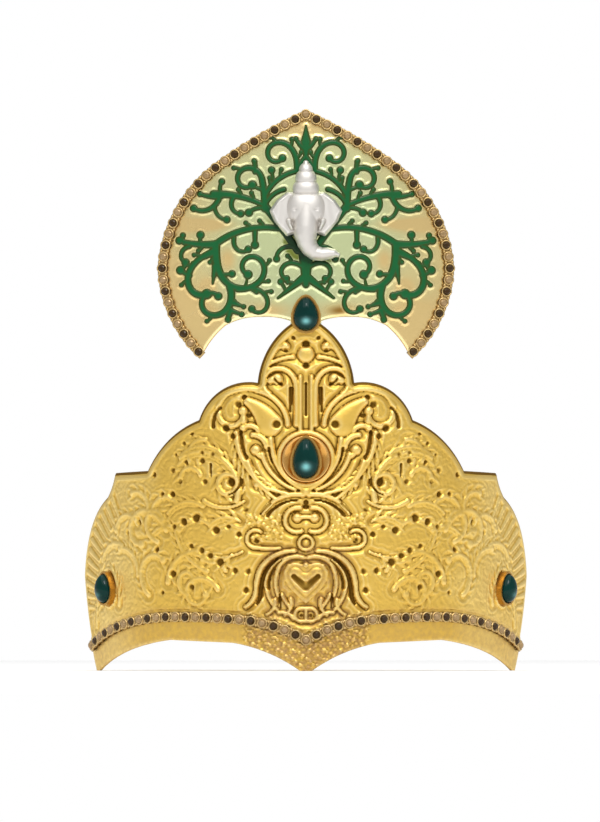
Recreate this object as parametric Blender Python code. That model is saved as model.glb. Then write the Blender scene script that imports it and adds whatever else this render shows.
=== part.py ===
"""A deity crown of gilt sheet metal, for a household idol.

An embossed tiara wraps round the front of the head. A leaf-shaped fan plate stands behind its
peak, and the post of the peak's stone setting rivets the two together. The fan carries green
enamel scrolls, a border of small stones and a silver elephant head. The crown stands on three
feet: the point of the tiara's front and the tips of its two ends.

Plate coordinates are millimetres: u runs to the right along the sheet, v is the height above the
floor, and h is the height of the relief above the sheet's front face.
"""

import math
from collections import namedtuple

import bmesh
import bpy
import numpy as np
from mathutils.geometry import delaunay_2d_cdt

MM = 0.001

# Driving dimensions, in millimetres
TIARA_RADIUS = 62.0
ARC_CENTRE_Y = 42.5
TIARA_BULGE = 1.5
BULGE_MIDDLE = 40.0
BULGE_REACH = 45.0
SHEET = 1.0
GAP = 0.3
RIDGE_HEIGHT = 1.1
FAN_RADIUS_ACROSS = 120.0
FAN_RADIUS_UP = 260.0
FAN_MIDDLE = 112.0
FAN_FRONT_Y = ARC_CENTRE_Y - TIARA_RADIUS + SHEET + GAP
ENAMEL = 0.5
STONE_PITCH = 3.3
CHAIN_WIDTH = 2.7
CHAIN_BASE = 0.8
STONE_GIRDLE = 1.2
STONE_TABLE = 0.65
STONE_RISE = 0.8
BEZEL_WALL = 0.5
BEZEL_FLOOR = 0.6
BEZEL_DEPTH = 1.2
POST_RADIUS = 1.0
POST_HOLE = 1.3
POST_HEIGHT = 93.0
BUTTON_RADIUS = 2.1
BUTTON = 0.8
HEAD_LIFT = GAP + ENAMEL + GAP

# The sheet outlines, right half, as arcs from point to point: u, v, and the sagitta of the arc
# that ends there, positive when it swells outwards. An arc is cut into chords of at most ARC_STEP
# degrees and ARC_CHORD
Arc = namedtuple("Arc", "u v swell")
TIARA_EDGE = [
    Arc(1.6, 0.0, 0.0),
    Arc(20.0, 7.6, -1.2),
    Arc(39.0, 8.4, 0.0),
    Arc(70.4, 0.0, -1.3),
    Arc(72.2, 0.0, 0.0),
    Arc(80.0, 26.0, 0.9),
    Arc(64.0, 47.5, 3.2),
    Arc(60.4, 53.9, -0.5),
    Arc(46.8, 54.3, 0.0),
    Arc(30.0, 67.9, 1.9),
    Arc(13.2, 77.9, 3.6),
    Arc(0.0, 96.0, 3.2),
]
FAN_EDGE = [
    Arc(0.0, 86.5, 0.0),
    Arc(4.0, 90.0, 1.2),
    Arc(4.2, 94.6, 0.0),
    Arc(12.0, 95.7, -0.4),
    Arc(21.8, 93.4, -0.7),
    Arc(28.2, 85.0, -0.6),
    Arc(39.4, 108.9, 2.6),
    Arc(23.1, 137.6, 3.8),
    Arc(0.0, 151.0, 0.6),
]
TIARA_CHAIN = [
    Arc(0.0, 8.3, 0.0),
    Arc(20.0, 14.0, -1.3),
    Arc(39.0, 14.6, -0.2),
    Arc(74.0, 6.2, -1.9),
]
CHAIN_INSET = 0.9
ARC_STEP = 14.0
ARC_CHORD = 6.5

# A stroke of ornament bends evenly or ever more tightly along its length, as a scroll does.
# Heading and bend are in degrees, tighten is 0 for a plain arc and 1 for one that starts straight,
# and bud is the radius of the round end
Stroke = namedtuple("Stroke", "u v heading length bend tighten width_in width_out bud")
ENAMEL_SCROLLS = [
    Stroke(0.3, 106.5, -38, 9.2, 0, 0.0, 2.2, 0.5, 0.0),
    Stroke(0.8, 109.2, 36, 10.0, -205, 0.7, 1.2, 0.9, 0.85),
    Stroke(1.0, 114.0, 22, 9.0, -120, 0.8, 1.1, 0.9, 0.85),
    Stroke(0.6, 116.5, 28, 25.5, -66, 0.0, 1.0, 1.5, 0.0),
    Stroke(24.4, 114.6, -90, 14.5, -88, 1.0, 1.8, 1.6, 0.0),
    Stroke(18.4, 103.2, 178, 21.0, -335, 0.55, 1.6, 1.0, 1.1),
    Stroke(13.8, 118.8, -90, 3.6, 0, 0.0, 1.2, 1.0, 1.0),
    Stroke(19.5, 116.9, -80, 6.5, -150, 0.4, 1.1, 0.8, 0.9),
    Stroke(24.6, 114.6, 0, 10.5, 75, 0.6, 1.5, 0.8, 0.9),
    Stroke(25.0, 113.2, -25, 6.4, 0, 0.0, 1.6, 0.6, 0.0),
    Stroke(25.4, 113.2, -36, 18.0, -175, 0.95, 1.3, 1.7, 1.1),
    Stroke(20.6, 104.0, -110, 23.0, 335, 0.6, 2.0, 0.9, 0.95),
    Stroke(20.4, 97.5, -75, 2.6, 0, 0.0, 1.6, 0.8, 0.8),
    Stroke(18.0, 103.6, 176, 16.0, 245, 0.95, 1.2, 0.9, 0.9),
    Stroke(11.1, 125.7, 230, 11.0, 0, 0.0, 1.6, 1.0, 0.0),
    Stroke(11.1, 125.0, 90, 8.4, -12, 0.0, 1.8, 1.5, 0.0),
    Stroke(11.9, 133.0, 78, 15.5, -305, 0.35, 1.5, 1.0, 1.1),
    Stroke(13.8, 135.0, 85, 3.0, 0, 0.0, 1.2, 0.7, 0.6),
    Stroke(11.1, 128.5, 115, 11.5, 55, 0.0, 1.3, 1.2, 0.0),
    Stroke(2.4, 135.4, 92, 20.6, -330, 0.85, 1.5, 1.0, 0.95),
    Stroke(0.4, 141.2, 40, 3.6, 20, 0.0, 1.3, 0.8, 0.6),
    Stroke(0.0, 139.2, -55, 4.6, 0, 0.0, 1.2, 1.2, 0.0),
    Stroke(11.1, 125.8, 28, 14.5, -30, 0.0, 1.1, 1.9, 0.0),
    Stroke(23.2, 128.4, -5, 4.6, 25, 0.0, 1.6, 0.8, 0.7),
    Stroke(23.4, 128.2, -72, 8.6, 106, 0.2, 1.4, 1.0, 0.9),
    Stroke(24.8, 125.7, -95, 5.4, -85, 0.3, 0.9, 0.8, 0.9),
    Stroke(19.4, 128.4, -50, 6.4, -135, 0.3, 1.2, 0.8, 0.9),
    Stroke(11.0, 125.2, 8, 4.8, -55, 0.4, 1.0, 0.9, 1.0),
    Stroke(10.7, 126.6, 118, 6.2, 50, 0.0, 1.0, 1.2, 0.6),
]
ENAMEL_MIDDLE = [
    Stroke(0.0, 104.5, 90, 16.0, 0, 0.0, 2.4, 1.6, 0.0),
    Stroke(0.0, 138.5, 90, 4.5, 0, 0.0, 0.8, 2.6, 0.0),
    Stroke(0.0, 143.0, 90, 4.6, 0, 0.0, 2.6, 0.2, 0.0),
]
TIARA_SCROLLS = [
    Stroke(3.0, 67.0, 92, 10.5, -4, 0.0, 1.5, 1.5, 0.0),
    Stroke(3.1, 77.3, 88, 21.0, -310, 0.3, 1.5, 1.0, 1.0),
    Stroke(4.8, 66.5, 88, 14.0, -75, -0.3, 1.7, 1.7, 0.0),
    Stroke(12.8, 76.0, 12, 27.0, -300, 0.8, 1.7, 1.2, 1.1),
    Stroke(17.5, 73.5, 215, 9.5, 20, 0.0, 1.2, 6.0, 3.0),
    Stroke(9.4, 62.5, -95, 18.5, -70, 0.3, 1.6, 1.0, 0.0),
    Stroke(18.5, 64.2, -100, 19.0, -35, 0.0, 1.5, 1.0, 0.0),
    Stroke(0.5, 47.5, -20, 13.5, -30, 0.0, 1.4, 0.6, 0.0),
    Stroke(0.8, 41.5, 60, 14.0, -330, 0.3, 1.1, 0.9, 0.8),
    Stroke(0.4, 28.4, 62, 9.5, -170, 0.0, 1.3, 1.3, 0.0),
    Stroke(5.9, 26.3, 232, 9.8, 0, 0.0, 1.3, 1.3, 0.0),
    Stroke(3.3, 26.3, 235, 5.6, 0, 0.0, 1.2, 1.2, 0.0),
    Stroke(2.4, 31.8, 0, 12.5, -85, 0.0, 1.6, 1.6, 0.0),
    Stroke(11.6, 24.5, -88, 9.5, 70, 0.0, 1.6, 1.2, 0.0),
    Stroke(4.5, 30.0, -15, 16.0, -100, 0.0, 1.1, 1.1, 0.0),
    Stroke(3.0, 33.0, -5, 30.0, 30, 0.0, 1.5, 0.8, 0.0),
    Stroke(18.5, 46.0, 105, 26.0, -135, -0.1, 1.6, 1.0, 0.0),
    Stroke(18.3, 50.5, 90, 16.0, -330, 0.0, 1.2, 1.0, 0.0),
    Stroke(16.4, 43.5, 10, 20.0, -10, 0.0, 1.4, 0.7, 0.0),
    Stroke(17.0, 40.5, 8, 24.0, 10, 0.0, 1.2, 0.6, 0.0),
    Stroke(39.2, 24.0, 95, 24.0, 150, 0.0, 1.6, 1.0, 0.0),
    Stroke(24.0, 22.0, 60, 22.0, -330, 0.5, 1.3, 0.9, 1.0),
    Stroke(33.0, 20.6, 20, 14.0, 320, 0.5, 1.3, 1.0, 1.0),
    Stroke(39.6, 38.2, 62, 25.0, -250, 0.6, 1.6, 1.1, 1.1),
    Stroke(42.6, 35.0, 20, 16.0, 250, 0.6, 1.3, 1.0, 1.0),
    Stroke(46.0, 20.6, 40, 18.0, 190, 0.4, 1.4, 1.0, 1.0),
    Stroke(56.2, 34.0, 25, 12.0, -95, 0.0, 1.3, 0.9, 0.0),
    Stroke(55.8, 17.0, 100, 15.0, -70, 0.0, 1.3, 1.0, 0.0),
    Stroke(0.0, 64.8, 0, 23.9, -180, 0.0, 1.5, 1.5, 0.0),
    Stroke(0.0, 35.8, 0, 6.5, -180, 0.0, 0.9, 0.9, 0.0),
]
FLUTES = 9
FLUTE_FIRST = (62.6, 46.4)
FLUTE_LAST = (76.6, 27.0)
FLUTE_HEADING = (232.0, 195.0)
FLUTE_LENGTH = 4.6
FLUTE_WIDTH = 1.2
STROKE_TURN = 42.0
STROKE_STEP = 8.0
BUD_SIDES = 6

# The pear-cut cabochons: the sheet they sit on, u, v, half width, half height and dome height
Cabochon = namedtuple("Cabochon", "name sheet u v half_width half_height dome")
CENTRE_STONE = Cabochon("centre_stone", "tiara", 0.0, 57.4, 3.2, 5.4, 2.6)
APEX_STONE = Cabochon("apex_stone", "tiara", 0.0, 96.4, 3.1, 4.5, 2.6)
SIDE_STONES = [
    Cabochon("left_stone", "tiara", -62.6, 22.4, 2.7, 3.9, 2.4),
    Cabochon("right_stone", "tiara", 62.6, 22.4, 2.7, 3.9, 2.4),
]
PEAR_SIDES = 16
PEAR_TAPER = 0.24
DOME_RINGS = 3

# The silver elephant head: outlines of its parts as points, and the trunk as a tube
Lump = namedtuple("Lump", "u v half_width half_height rise")
HEAD_LUMPS = [
    Lump(0.0, 124.6, 4.6, 5.4, 3.6),
    Lump(-5.9, 124.2, 3.9, 3.9, 1.4),
    Lump(5.9, 124.2, 3.7, 3.9, 1.4),
    Lump(0.0, 131.4, 3.1, 2.6, 2.8),
    Lump(0.0, 134.3, 2.0, 2.2, 2.2),
    Lump(0.0, 136.9, 0.9, 1.4, 1.5),
    Lump(-3.7, 120.3, 0.85, 2.2, 2.4),
    Lump(3.6, 120.2, 0.85, 2.2, 2.4),
]
TRUNK = Stroke(0.0, 122.4, -90, 15.5, 92, 0.9, 5.6, 1.7, 0.0)
TRUNK_RISE = (4.2, 2.0)
LUMP_SIDES = 14


def arc_points(start, arc):
    """The points of one arc of an outline, without its start."""
    a, b = np.array(start[:2], float), np.array(arc[:2], float)
    chord = b - a
    length = np.hypot(*chord)
    least = math.ceil(length / ARC_CHORD)
    if abs(arc.swell) < 0.05:
        return [tuple(a + chord * i / least) for i in range(1, least + 1)]
    normal = np.array([chord[1], -chord[0]]) / length
    radius = (length**2 / 4 + arc.swell**2) / (2 * arc.swell)
    half = math.asin(max(-1.0, min(1.0, length / 2 / radius)))
    steps = max(least, math.ceil(abs(math.degrees(2 * half)) / ARC_STEP))
    centre = (a + b) / 2 + normal * (arc.swell - radius)
    found = []
    for i in range(1, steps + 1):
        turn = -half + 2 * half * i / steps
        found.append(tuple(centre + radius * (math.cos(turn) * normal + math.sin(turn) * chord / length)))
    return found


def arc_chain(arcs):
    """The points of a row of arcs."""
    points = [arcs[0][:2]]
    for before, arc in zip(arcs, arcs[1:]):
        points += arc_points(before, arc)
    return [(float(u), float(v)) for u, v in points]


def mirrored_outline(arcs):
    """A closed outline from its right half, which runs from the bottom to the top."""
    right = arc_chain(arcs)
    left = [(-u, v) for u, v in reversed(right) if abs(u) > 1e-6]
    return right + left


def stroke_line(stroke, turn=STROKE_TURN, step=STROKE_STEP):
    """Rows of u, v, heading in radians and share of the length along a stroke."""
    rows = max(2, math.ceil(abs(stroke.bend) / turn), math.ceil(stroke.length / step))
    u, v = stroke.u, stroke.v
    found = []
    fine = 8
    for i in range(rows * fine + 1):
        t = i / (rows * fine)
        heading = math.radians(stroke.heading + stroke.bend * (t + stroke.tighten * (t * t - t)))
        if i % fine == 0:
            found.append((u, v, heading, t))
        u += stroke.length / (rows * fine) * math.cos(heading)
        v += stroke.length / (rows * fine) * math.sin(heading)
    return found


def mirrored_stroke(stroke):
    return stroke._replace(u=-stroke.u, heading=180 - stroke.heading, bend=-stroke.bend)


def both_sides(strokes):
    return strokes + [mirrored_stroke(stroke) for stroke in strokes]


def stroke_width(stroke, t):
    return stroke.width_in + (stroke.width_out - stroke.width_in) * t


def stroke_polygon(stroke):
    """The closed outline of a stroke, without its bud."""
    left, right = [], []
    for u, v, heading, t in stroke_line(stroke):
        half = stroke_width(stroke, t) / 2
        left.append((u - half * math.sin(heading), v + half * math.cos(heading)))
        right.append((u + half * math.sin(heading), v - half * math.cos(heading)))
    return right + left[::-1]


def ring(u, v, half_width, half_height, sides, phase=0.5):
    """An ellipse with that many sides."""
    angles = [2 * math.pi * (i + phase) / sides for i in range(sides)]
    return [(u + half_width * math.cos(a), v + half_height * math.sin(a)) for a in angles]


def bud_polygon(stroke):
    u, v = stroke_line(stroke)[-1][:2]
    return ring(u, v, stroke.bud, stroke.bud, BUD_SIDES)


def inside(points, polygons):
    """Which points lie in any of the polygons."""
    points = np.asarray(points, float)
    found = np.zeros(len(points), bool)
    for polygon in polygons:
        crossings = np.zeros(len(points), int)
        for (u0, v0), (u1, v1) in zip(polygon, polygon[1:] + polygon[:1]):
            if v0 == v1:
                continue
            spans = (points[:, 1] < max(v0, v1)) & (points[:, 1] >= min(v0, v1))
            at = u0 + (points[:, 1] - v0) * (u1 - u0) / (v1 - v0)
            crossings += spans & (points[:, 0] < at)
        found |= crossings % 2 == 1
    return found


def distance_to_line(points, line):
    """The distance from each point to a polyline, and the share of its length there."""
    points = np.asarray(points, float)
    best = np.full(len(points), 1e9)
    share = np.zeros(len(points))
    for i in range(len(line) - 1):
        a, b = np.array(line[i][:2]), np.array(line[i + 1][:2])
        d = b - a
        t = np.clip((points - a) @ d / max(d @ d, 1e-12), 0, 1)
        far = np.hypot(*(points - a - t[:, None] * d).T)
        near = far < best
        best[near] = far[near]
        share[near] = (i + t[near]) / (len(line) - 1)
    return best, share


def fill_points(polygons, holes, spacing, kept_clear):
    """A staggered grid of points within the polygons, clear of the points already there."""
    corners = np.array([p for polygon in polygons for p in polygon])
    low, high = corners.min(0), corners.max(0)
    grid = []
    for row in range(int((high[1] - low[1]) / spacing) + 1):
        shift = spacing / 2 if row % 2 else 0.0
        for column in range(int((high[0] - low[0]) / spacing) + 2):
            grid.append((low[0] + shift + column * spacing, low[1] + (row + 0.5) * spacing))
    grid = np.array(grid)
    keep = inside(grid, polygons)
    if holes:
        keep &= ~inside(grid, holes)
    clear = np.array(kept_clear)
    near = np.array([np.min(np.hypot(*(clear - p).T)) for p in grid])
    return [tuple(p) for p in grid[keep & (near > 0.55 * spacing)]]


def triangulate(lines, loose, polygons, holes):
    """Points and triangles within the polygons, with every line as an edge of the mesh."""
    coords, edges = [], []
    for points, closed in lines:
        first = len(coords)
        coords += points
        count = len(points)
        edges += [(first + i, first + (i + 1) % count) for i in range(count if closed else count - 1)]
    coords += loose
    out = delaunay_2d_cdt([tuple(map(float, c)) for c in coords], edges, [], 0, 1e-4)
    found = np.array([tuple(c) for c in out[0]])
    triangles = [tuple(f) for f in out[2]]
    centres = np.array([found[list(f)].mean(0) for f in triangles])
    keep = inside(centres, polygons)
    if holes:
        keep &= ~inside(centres, holes)
    return found, [f for f, kept in zip(triangles, keep) if kept]


def boundary(triangles):
    """The directed edges that belong to one triangle only."""
    directed = {(f[i], f[(i + 1) % 3]) for f in triangles for i in range(3)}
    return [edge for edge in directed if edge[::-1] not in directed]


def sheet_solid(name, material, surface, polygons, lines=(), height=None, thickness=SHEET,
                spacing=None, back_spacing=None, holes=()):
    """A closed solid of even thickness under a relief, over the polygons laid on a surface."""
    holes = list(holes)
    rims = [(p, True) for p in polygons + holes]
    taken = [p for points, _ in list(rims) + list(lines) for p in points]
    loose = fill_points(polygons, holes, spacing, taken) if spacing else []
    points, triangles = triangulate(rims + list(lines), loose, polygons, holes)
    edge = sorted(boundary(triangles))
    corners = sorted({a for pair in edge for a in pair})
    place = {a: i for i, a in enumerate(corners)}
    rim_points = [tuple(points[a]) for a in corners]
    back_loose = fill_points(polygons, holes, back_spacing, rim_points) if back_spacing else []
    out = delaunay_2d_cdt(rim_points + back_loose, [(place[a], place[b]) for a, b in edge], [], 0, 1e-6)
    back_points = np.array([tuple(c) for c in out[0]])
    back_triangles = [tuple(f) for f in out[2]]
    centres = np.array([back_points[list(f)].mean(0) for f in back_triangles])
    keep = inside(centres, polygons)
    if holes:
        keep &= ~inside(centres, holes)
    back_triangles = [f for f, kept in zip(back_triangles, keep) if kept]
    merged = {source: i for i, sources in enumerate(out[3]) for source in sources}
    heights = height(points) if height else np.zeros(len(points))
    bm = bmesh.new()
    front = [bm.verts.new(surface(u, v, h)) for (u, v), h in zip(points, heights)]
    back = [bm.verts.new(surface(u, v, -thickness)) for u, v in back_points]
    for f in triangles:
        bm.faces.new([front[i] for i in f])
    for f in back_triangles:
        bm.faces.new([back[i] for i in reversed(f)])
    for a, b in edge:
        low_a, low_b = back[merged[place[a]]], back[merged[place[b]]]
        bm.faces.new([front[b], front[a], low_a])
        bm.faces.new([front[b], low_a, low_b])
    bmesh.ops.delete(bm, geom=[v for v in bm.verts if not v.link_faces], context="VERTS")
    return make_object(name, bm, material)


def loft_solid(name, material, rings):
    """A closed solid through rings of equal count, from one flat cap to the other."""
    bm = bmesh.new()
    rows = [[bm.verts.new(p) for p in points] for points in rings]
    count = len(rows[0])
    for low, high in zip(rows, rows[1:]):
        for i in range(count):
            j = (i + 1) % count
            bm.faces.new([low[i], low[j], high[j], high[i]])
    bm.faces.new(rows[0][::-1])
    bm.faces.new(rows[-1])
    return make_object(name, bm, material)


def make_object(name, bm, material):
    bmesh.ops.recalc_face_normals(bm, faces=bm.faces)
    bmesh.ops.triangulate(bm, faces=bm.faces)
    mesh = bpy.data.meshes.new(name)
    bm.to_mesh(mesh)
    bm.free()
    mesh.materials.append(material)
    made = bpy.data.objects.new(name, mesh)
    bpy.context.scene.collection.objects.link(made)
    return made


def make_material(name, colour, roughness, metallic):
    material = bpy.data.materials.new(name)
    material.use_nodes = True
    shader = material.node_tree.nodes["Principled BSDF"]
    shader.inputs["Base Color"].default_value = (*colour, 1.0)
    shader.inputs["Roughness"].default_value = roughness
    shader.inputs["Metallic"].default_value = metallic
    return material


def on_tiara(u, v, h):
    """A point on the tiara's sheet, which is bent round the head and swells a little at mid height."""
    t = max(-1.0, min(1.0, (v - BULGE_MIDDLE) / BULGE_REACH))
    radius = TIARA_RADIUS + TIARA_BULGE * (1 - t * t) + h
    angle = u / TIARA_RADIUS
    return (radius * math.sin(angle) * MM, (ARC_CENTRE_Y - radius * math.cos(angle)) * MM, v * MM)


def on_fan(u, v, h):
    """A point on the fan plate, which is a shallow shield."""
    back = u * u / (2 * FAN_RADIUS_ACROSS)
    rise = max(0.0, v - FAN_MIDDLE)
    back += rise * rise / (2 * FAN_RADIUS_UP)
    return (u * MM, (FAN_FRONT_Y + back - h) * MM, v * MM)


def lifted(surface, lift):
    """The same surface, with heights counted from a level above it."""
    return lambda u, v, h: surface(u, v, h + lift)


def ridge_heights(strokes, rise):
    """Roof-shaped ridges along strokes, with round buds at their ends."""
    lines = [stroke_line(s) for s in strokes]

    def height(points):
        found = np.zeros(len(points))
        for stroke, line in zip(strokes, lines):
            far, share = distance_to_line(points, line)
            half = stroke_width(stroke, share) / 2
            found = np.maximum(found, rise * (1 - far / half))
            if stroke.bud:
                from_bud = np.hypot(*(points - np.array(line[-1][:2])).T)
                found = np.maximum(found, rise * (1 - from_bud / stroke.bud))
        found[found < 0.04] = 0.0
        return found

    return height


def ridge_lines(strokes):
    """The edges and crests of the ridges, for the mesh to follow."""
    found = []
    for stroke in strokes:
        found.append((stroke_polygon(stroke), True))
        found.append(([row[:2] for row in stroke_line(stroke)], False))
        if stroke.bud:
            found.append((bud_polygon(stroke), True))
    return found


def flutes():
    """The short ribs that fan out along the ends of the tiara."""
    found = []
    for i in range(FLUTES):
        t = i / (FLUTES - 1)
        u = FLUTE_FIRST[0] + (FLUTE_LAST[0] - FLUTE_FIRST[0]) * t
        v = FLUTE_FIRST[1] + (FLUTE_LAST[1] - FLUTE_FIRST[1]) * t
        swell = 2.4 * math.sin(math.pi * t)
        heading = FLUTE_HEADING[0] + (FLUTE_HEADING[1] - FLUTE_HEADING[0]) * t
        found.append(
            Stroke(u + swell, v + swell, heading, FLUTE_LENGTH, 0, 0.0, FLUTE_WIDTH, 0.6, 0.0)
        )
    return found


def build_tiara(gold):
    strokes = both_sides(TIARA_SCROLLS + flutes())
    return sheet_solid(
        "tiara", gold, on_tiara, [mirrored_outline(TIARA_EDGE)],
        lines=ridge_lines(strokes) + [(tiara_chain_line(), False)],
        height=ridge_heights(strokes, RIDGE_HEIGHT),
        spacing=5.5, back_spacing=8.0, holes=[ring(0, POST_HEIGHT, POST_HOLE, POST_HOLE, 10)],
    )


def build_fan(gold):
    return sheet_solid(
        "fan_plate", gold, on_fan, [mirrored_outline(FAN_EDGE)],
        spacing=7.0, back_spacing=7.0, holes=[ring(0, POST_HEIGHT, POST_HOLE, POST_HOLE, 10)],
    )


def build_enamel(green):
    strokes = both_sides(ENAMEL_SCROLLS) + ENAMEL_MIDDLE
    polygons = [stroke_polygon(s) for s in strokes]
    polygons += [bud_polygon(s) for s in strokes if s.bud]
    return sheet_solid(
        "scroll_enamel", green, lifted(on_fan, GAP + ENAMEL), polygons, thickness=ENAMEL
    )


def evenly_along(line, pitch):
    """Places and headings at an even pitch along a line, a half pitch in from its ends."""
    line = np.array(line)
    lengths = np.hypot(*np.diff(line, axis=0).T)
    reach = np.concatenate([[0], np.cumsum(lengths)])
    count = round(reach[-1] / pitch)
    at = (np.arange(count) + 0.5) * reach[-1] / count
    u = np.interp(at, reach, line[:, 0])
    v = np.interp(at, reach, line[:, 1])
    return list(zip(u, v))


def offset_line(line, distance):
    """The line moved to its left by a distance, with mitred corners."""
    line = np.array(line)
    ahead = np.diff(line, axis=0)
    ahead /= np.hypot(*ahead.T)[:, None]
    side = np.stack([-ahead[:, 1], ahead[:, 0]], 1)
    at_corner = np.concatenate([side[:1], side[1:] + side[:-1], side[-1:]])
    at_corner /= np.hypot(*at_corner.T)[:, None]
    spread = np.concatenate([[1.0], np.sum(at_corner[1:-1] * side[1:], 1), [1.0]])
    return [(float(u), float(v)) for u, v in line + at_corner * (distance / spread)[:, None]]


def band(line, width):
    """The closed outline of a band along a line."""
    return offset_line(line, -width / 2) + offset_line(line, width / 2)[::-1]


def build_chain(name, material, surface, line):
    """A border of small faceted stones, fused to the strip that holds them."""
    places = evenly_along(line, STONE_PITCH)
    lines = []
    for u, v in places:
        lines.append((ring(u, v, STONE_GIRDLE, STONE_GIRDLE, 8), True))
        lines.append((ring(u, v, STONE_TABLE, STONE_TABLE, 8), True))

    def height(points):
        far = np.min([np.hypot(*(points - np.array(p)).T) for p in places], axis=0)
        return np.where(far < STONE_TABLE + 0.05, STONE_RISE, 0.0)

    return sheet_solid(
        name, material, lifted(surface, GAP + CHAIN_BASE), [band(line, CHAIN_WIDTH)],
        lines=lines, height=height, thickness=CHAIN_BASE,
    )


def tiara_chain_line():
    right = arc_chain(TIARA_CHAIN)
    return [(-u, v) for u, v in reversed(right[1:])] + right


def fan_chain_line():
    """The fan's outer edge from tip to tip, moved inwards."""
    outline = arc_chain(FAN_EDGE)
    first = min(range(len(outline)), key=lambda i: math.dist(outline[i], (28.2, 85.0)))
    right = np.array(outline[first:])
    line = np.concatenate([right * (-1, 1), right[::-1][1:]])
    return offset_line(line, -CHAIN_INSET)


def pear(stone, grow):
    """The outline of a pear-shaped stone, grown by a margin."""
    found = []
    for i in range(PEAR_SIDES):
        angle = 2 * math.pi * i / PEAR_SIDES
        taper = 1 - PEAR_TAPER * math.cos(angle)
        across = (stone.half_width + grow) * math.sin(angle) * taper
        up = (stone.half_height + grow) * math.cos(angle)
        found.append((across, up))
    return found


def level(stone, outline, h, scale=1.0):
    return [on_tiara(stone.u + scale * a, stone.v + scale * b, h) for a, b in outline]


def build_stone(stone, glass):
    base = GAP + BEZEL_FLOOR + GAP
    outline = pear(stone, 0.0)
    rings = [level(stone, outline, base), level(stone, outline, base + 0.7)]
    for i in range(1, DOME_RINGS + 1):
        lean = math.radians(80) * i / DOME_RINGS
        rings.append(
            level(stone, outline, base + 0.7 + stone.dome * math.sin(lean), math.cos(lean))
        )
    return loft_solid(stone.name, glass, rings)


def build_bezel(stone, gold, post=False):
    """A cup of sheet round a stone. The apex cup has a post that goes through both plates."""
    name = stone.name.replace("stone", "bezel")
    inner, outer = pear(stone, GAP), pear(stone, GAP + BEZEL_WALL)
    floor = GAP + BEZEL_FLOOR
    rings = [
        level(stone, inner, floor),
        level(stone, inner, floor + BEZEL_DEPTH),
        level(stone, outer, floor + BEZEL_DEPTH),
        level(stone, outer, GAP),
    ]
    if post:
        button_top = -(SHEET + GAP + SHEET + GAP)
        for radius, h in (
            (POST_RADIUS, GAP),
            (POST_RADIUS, button_top),
            (BUTTON_RADIUS, button_top),
            (BUTTON_RADIUS, button_top - BUTTON),
        ):
            rings.append(
                [
                    on_tiara(
                        radius * math.sin(2 * math.pi * i / PEAR_SIDES),
                        POST_HEIGHT + radius * math.cos(2 * math.pi * i / PEAR_SIDES),
                        h,
                    )
                    for i in range(PEAR_SIDES)
                ]
            )
    return loft_solid(name, gold, rings)


def head_heights(points):
    """The relief of the elephant head, from its lumps and its trunk."""
    found = np.full(len(points), 0.5)
    for lump in HEAD_LUMPS:
        across = (points[:, 0] - lump.u) / lump.half_width
        up = (points[:, 1] - lump.v) / lump.half_height
        found = np.maximum(found, lump.rise * np.sqrt(np.clip(1 - across**2 - up**2, 0, 1)))
    far, share = distance_to_line(points, stroke_line(TRUNK, 20, 2))
    half = stroke_width(TRUNK, share) / 2
    rise = TRUNK_RISE[0] + (TRUNK_RISE[1] - TRUNK_RISE[0]) * share
    return np.maximum(found, rise * np.sqrt(np.clip(1 - (far / half) ** 2, 0, 1)))


def build_head(silver):
    outlines = [
        ring(l.u, l.v, l.half_width, l.half_height, LUMP_SIDES if l.half_width > 1 else 8)
        for l in HEAD_LUMPS
    ]
    outlines.append(stroke_polygon(TRUNK))
    inner = []
    for lump in HEAD_LUMPS:
        for share in (0.8, 0.45):
            if lump.half_width * share > 1.0:
                half_sizes = (lump.half_width * share, lump.half_height * share)
                inner += ring(lump.u, lump.v, *half_sizes, LUMP_SIDES // 2 + 3)
    crest = [row[:2] for row in stroke_line(TRUNK)]
    return sheet_solid(
        "elephant_head", silver, lifted(on_fan, HEAD_LIFT), outlines,
        lines=[(crest, False)] + [([p], False) for p in inner],
        height=head_heights, thickness=0.0,
    )


def main():
    for obj in list(bpy.data.objects):
        bpy.data.objects.remove(obj)
    embossed_gold = make_material("embossed_gold", (0.83, 0.56, 0.14), 0.28, 1.0)
    pale_gold = make_material("pale_gold", (0.90, 0.74, 0.36), 0.22, 1.0)
    green_enamel = make_material("green_enamel", (0.02, 0.22, 0.08), 0.25, 0.0)
    green_glass = make_material("green_glass", (0.0, 0.13, 0.10), 0.05, 0.0)
    chain_gold = make_material("stone_border", (0.42, 0.27, 0.16), 0.35, 0.6)
    silver = make_material("silver", (0.85, 0.84, 0.82), 0.3, 1.0)
    build_tiara(embossed_gold)
    build_fan(pale_gold)
    build_enamel(green_enamel)
    build_chain("tiara_stone_border", chain_gold, on_tiara, tiara_chain_line())
    build_chain("fan_stone_border", chain_gold, on_fan, fan_chain_line())
    for stone in [CENTRE_STONE, APEX_STONE, *SIDE_STONES]:
        build_stone(stone, green_glass)
        build_bezel(stone, embossed_gold, post=stone is APEX_STONE)
    build_head(silver)


main()
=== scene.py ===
"""The looks of a gilt crown for a household idol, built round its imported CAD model.

Sheets are modelled flat in millimetres: x along the sheet, y the height above the floor, and z the
relief. Each is then bent onto the surface that its metal has, in metres.
"""

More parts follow.
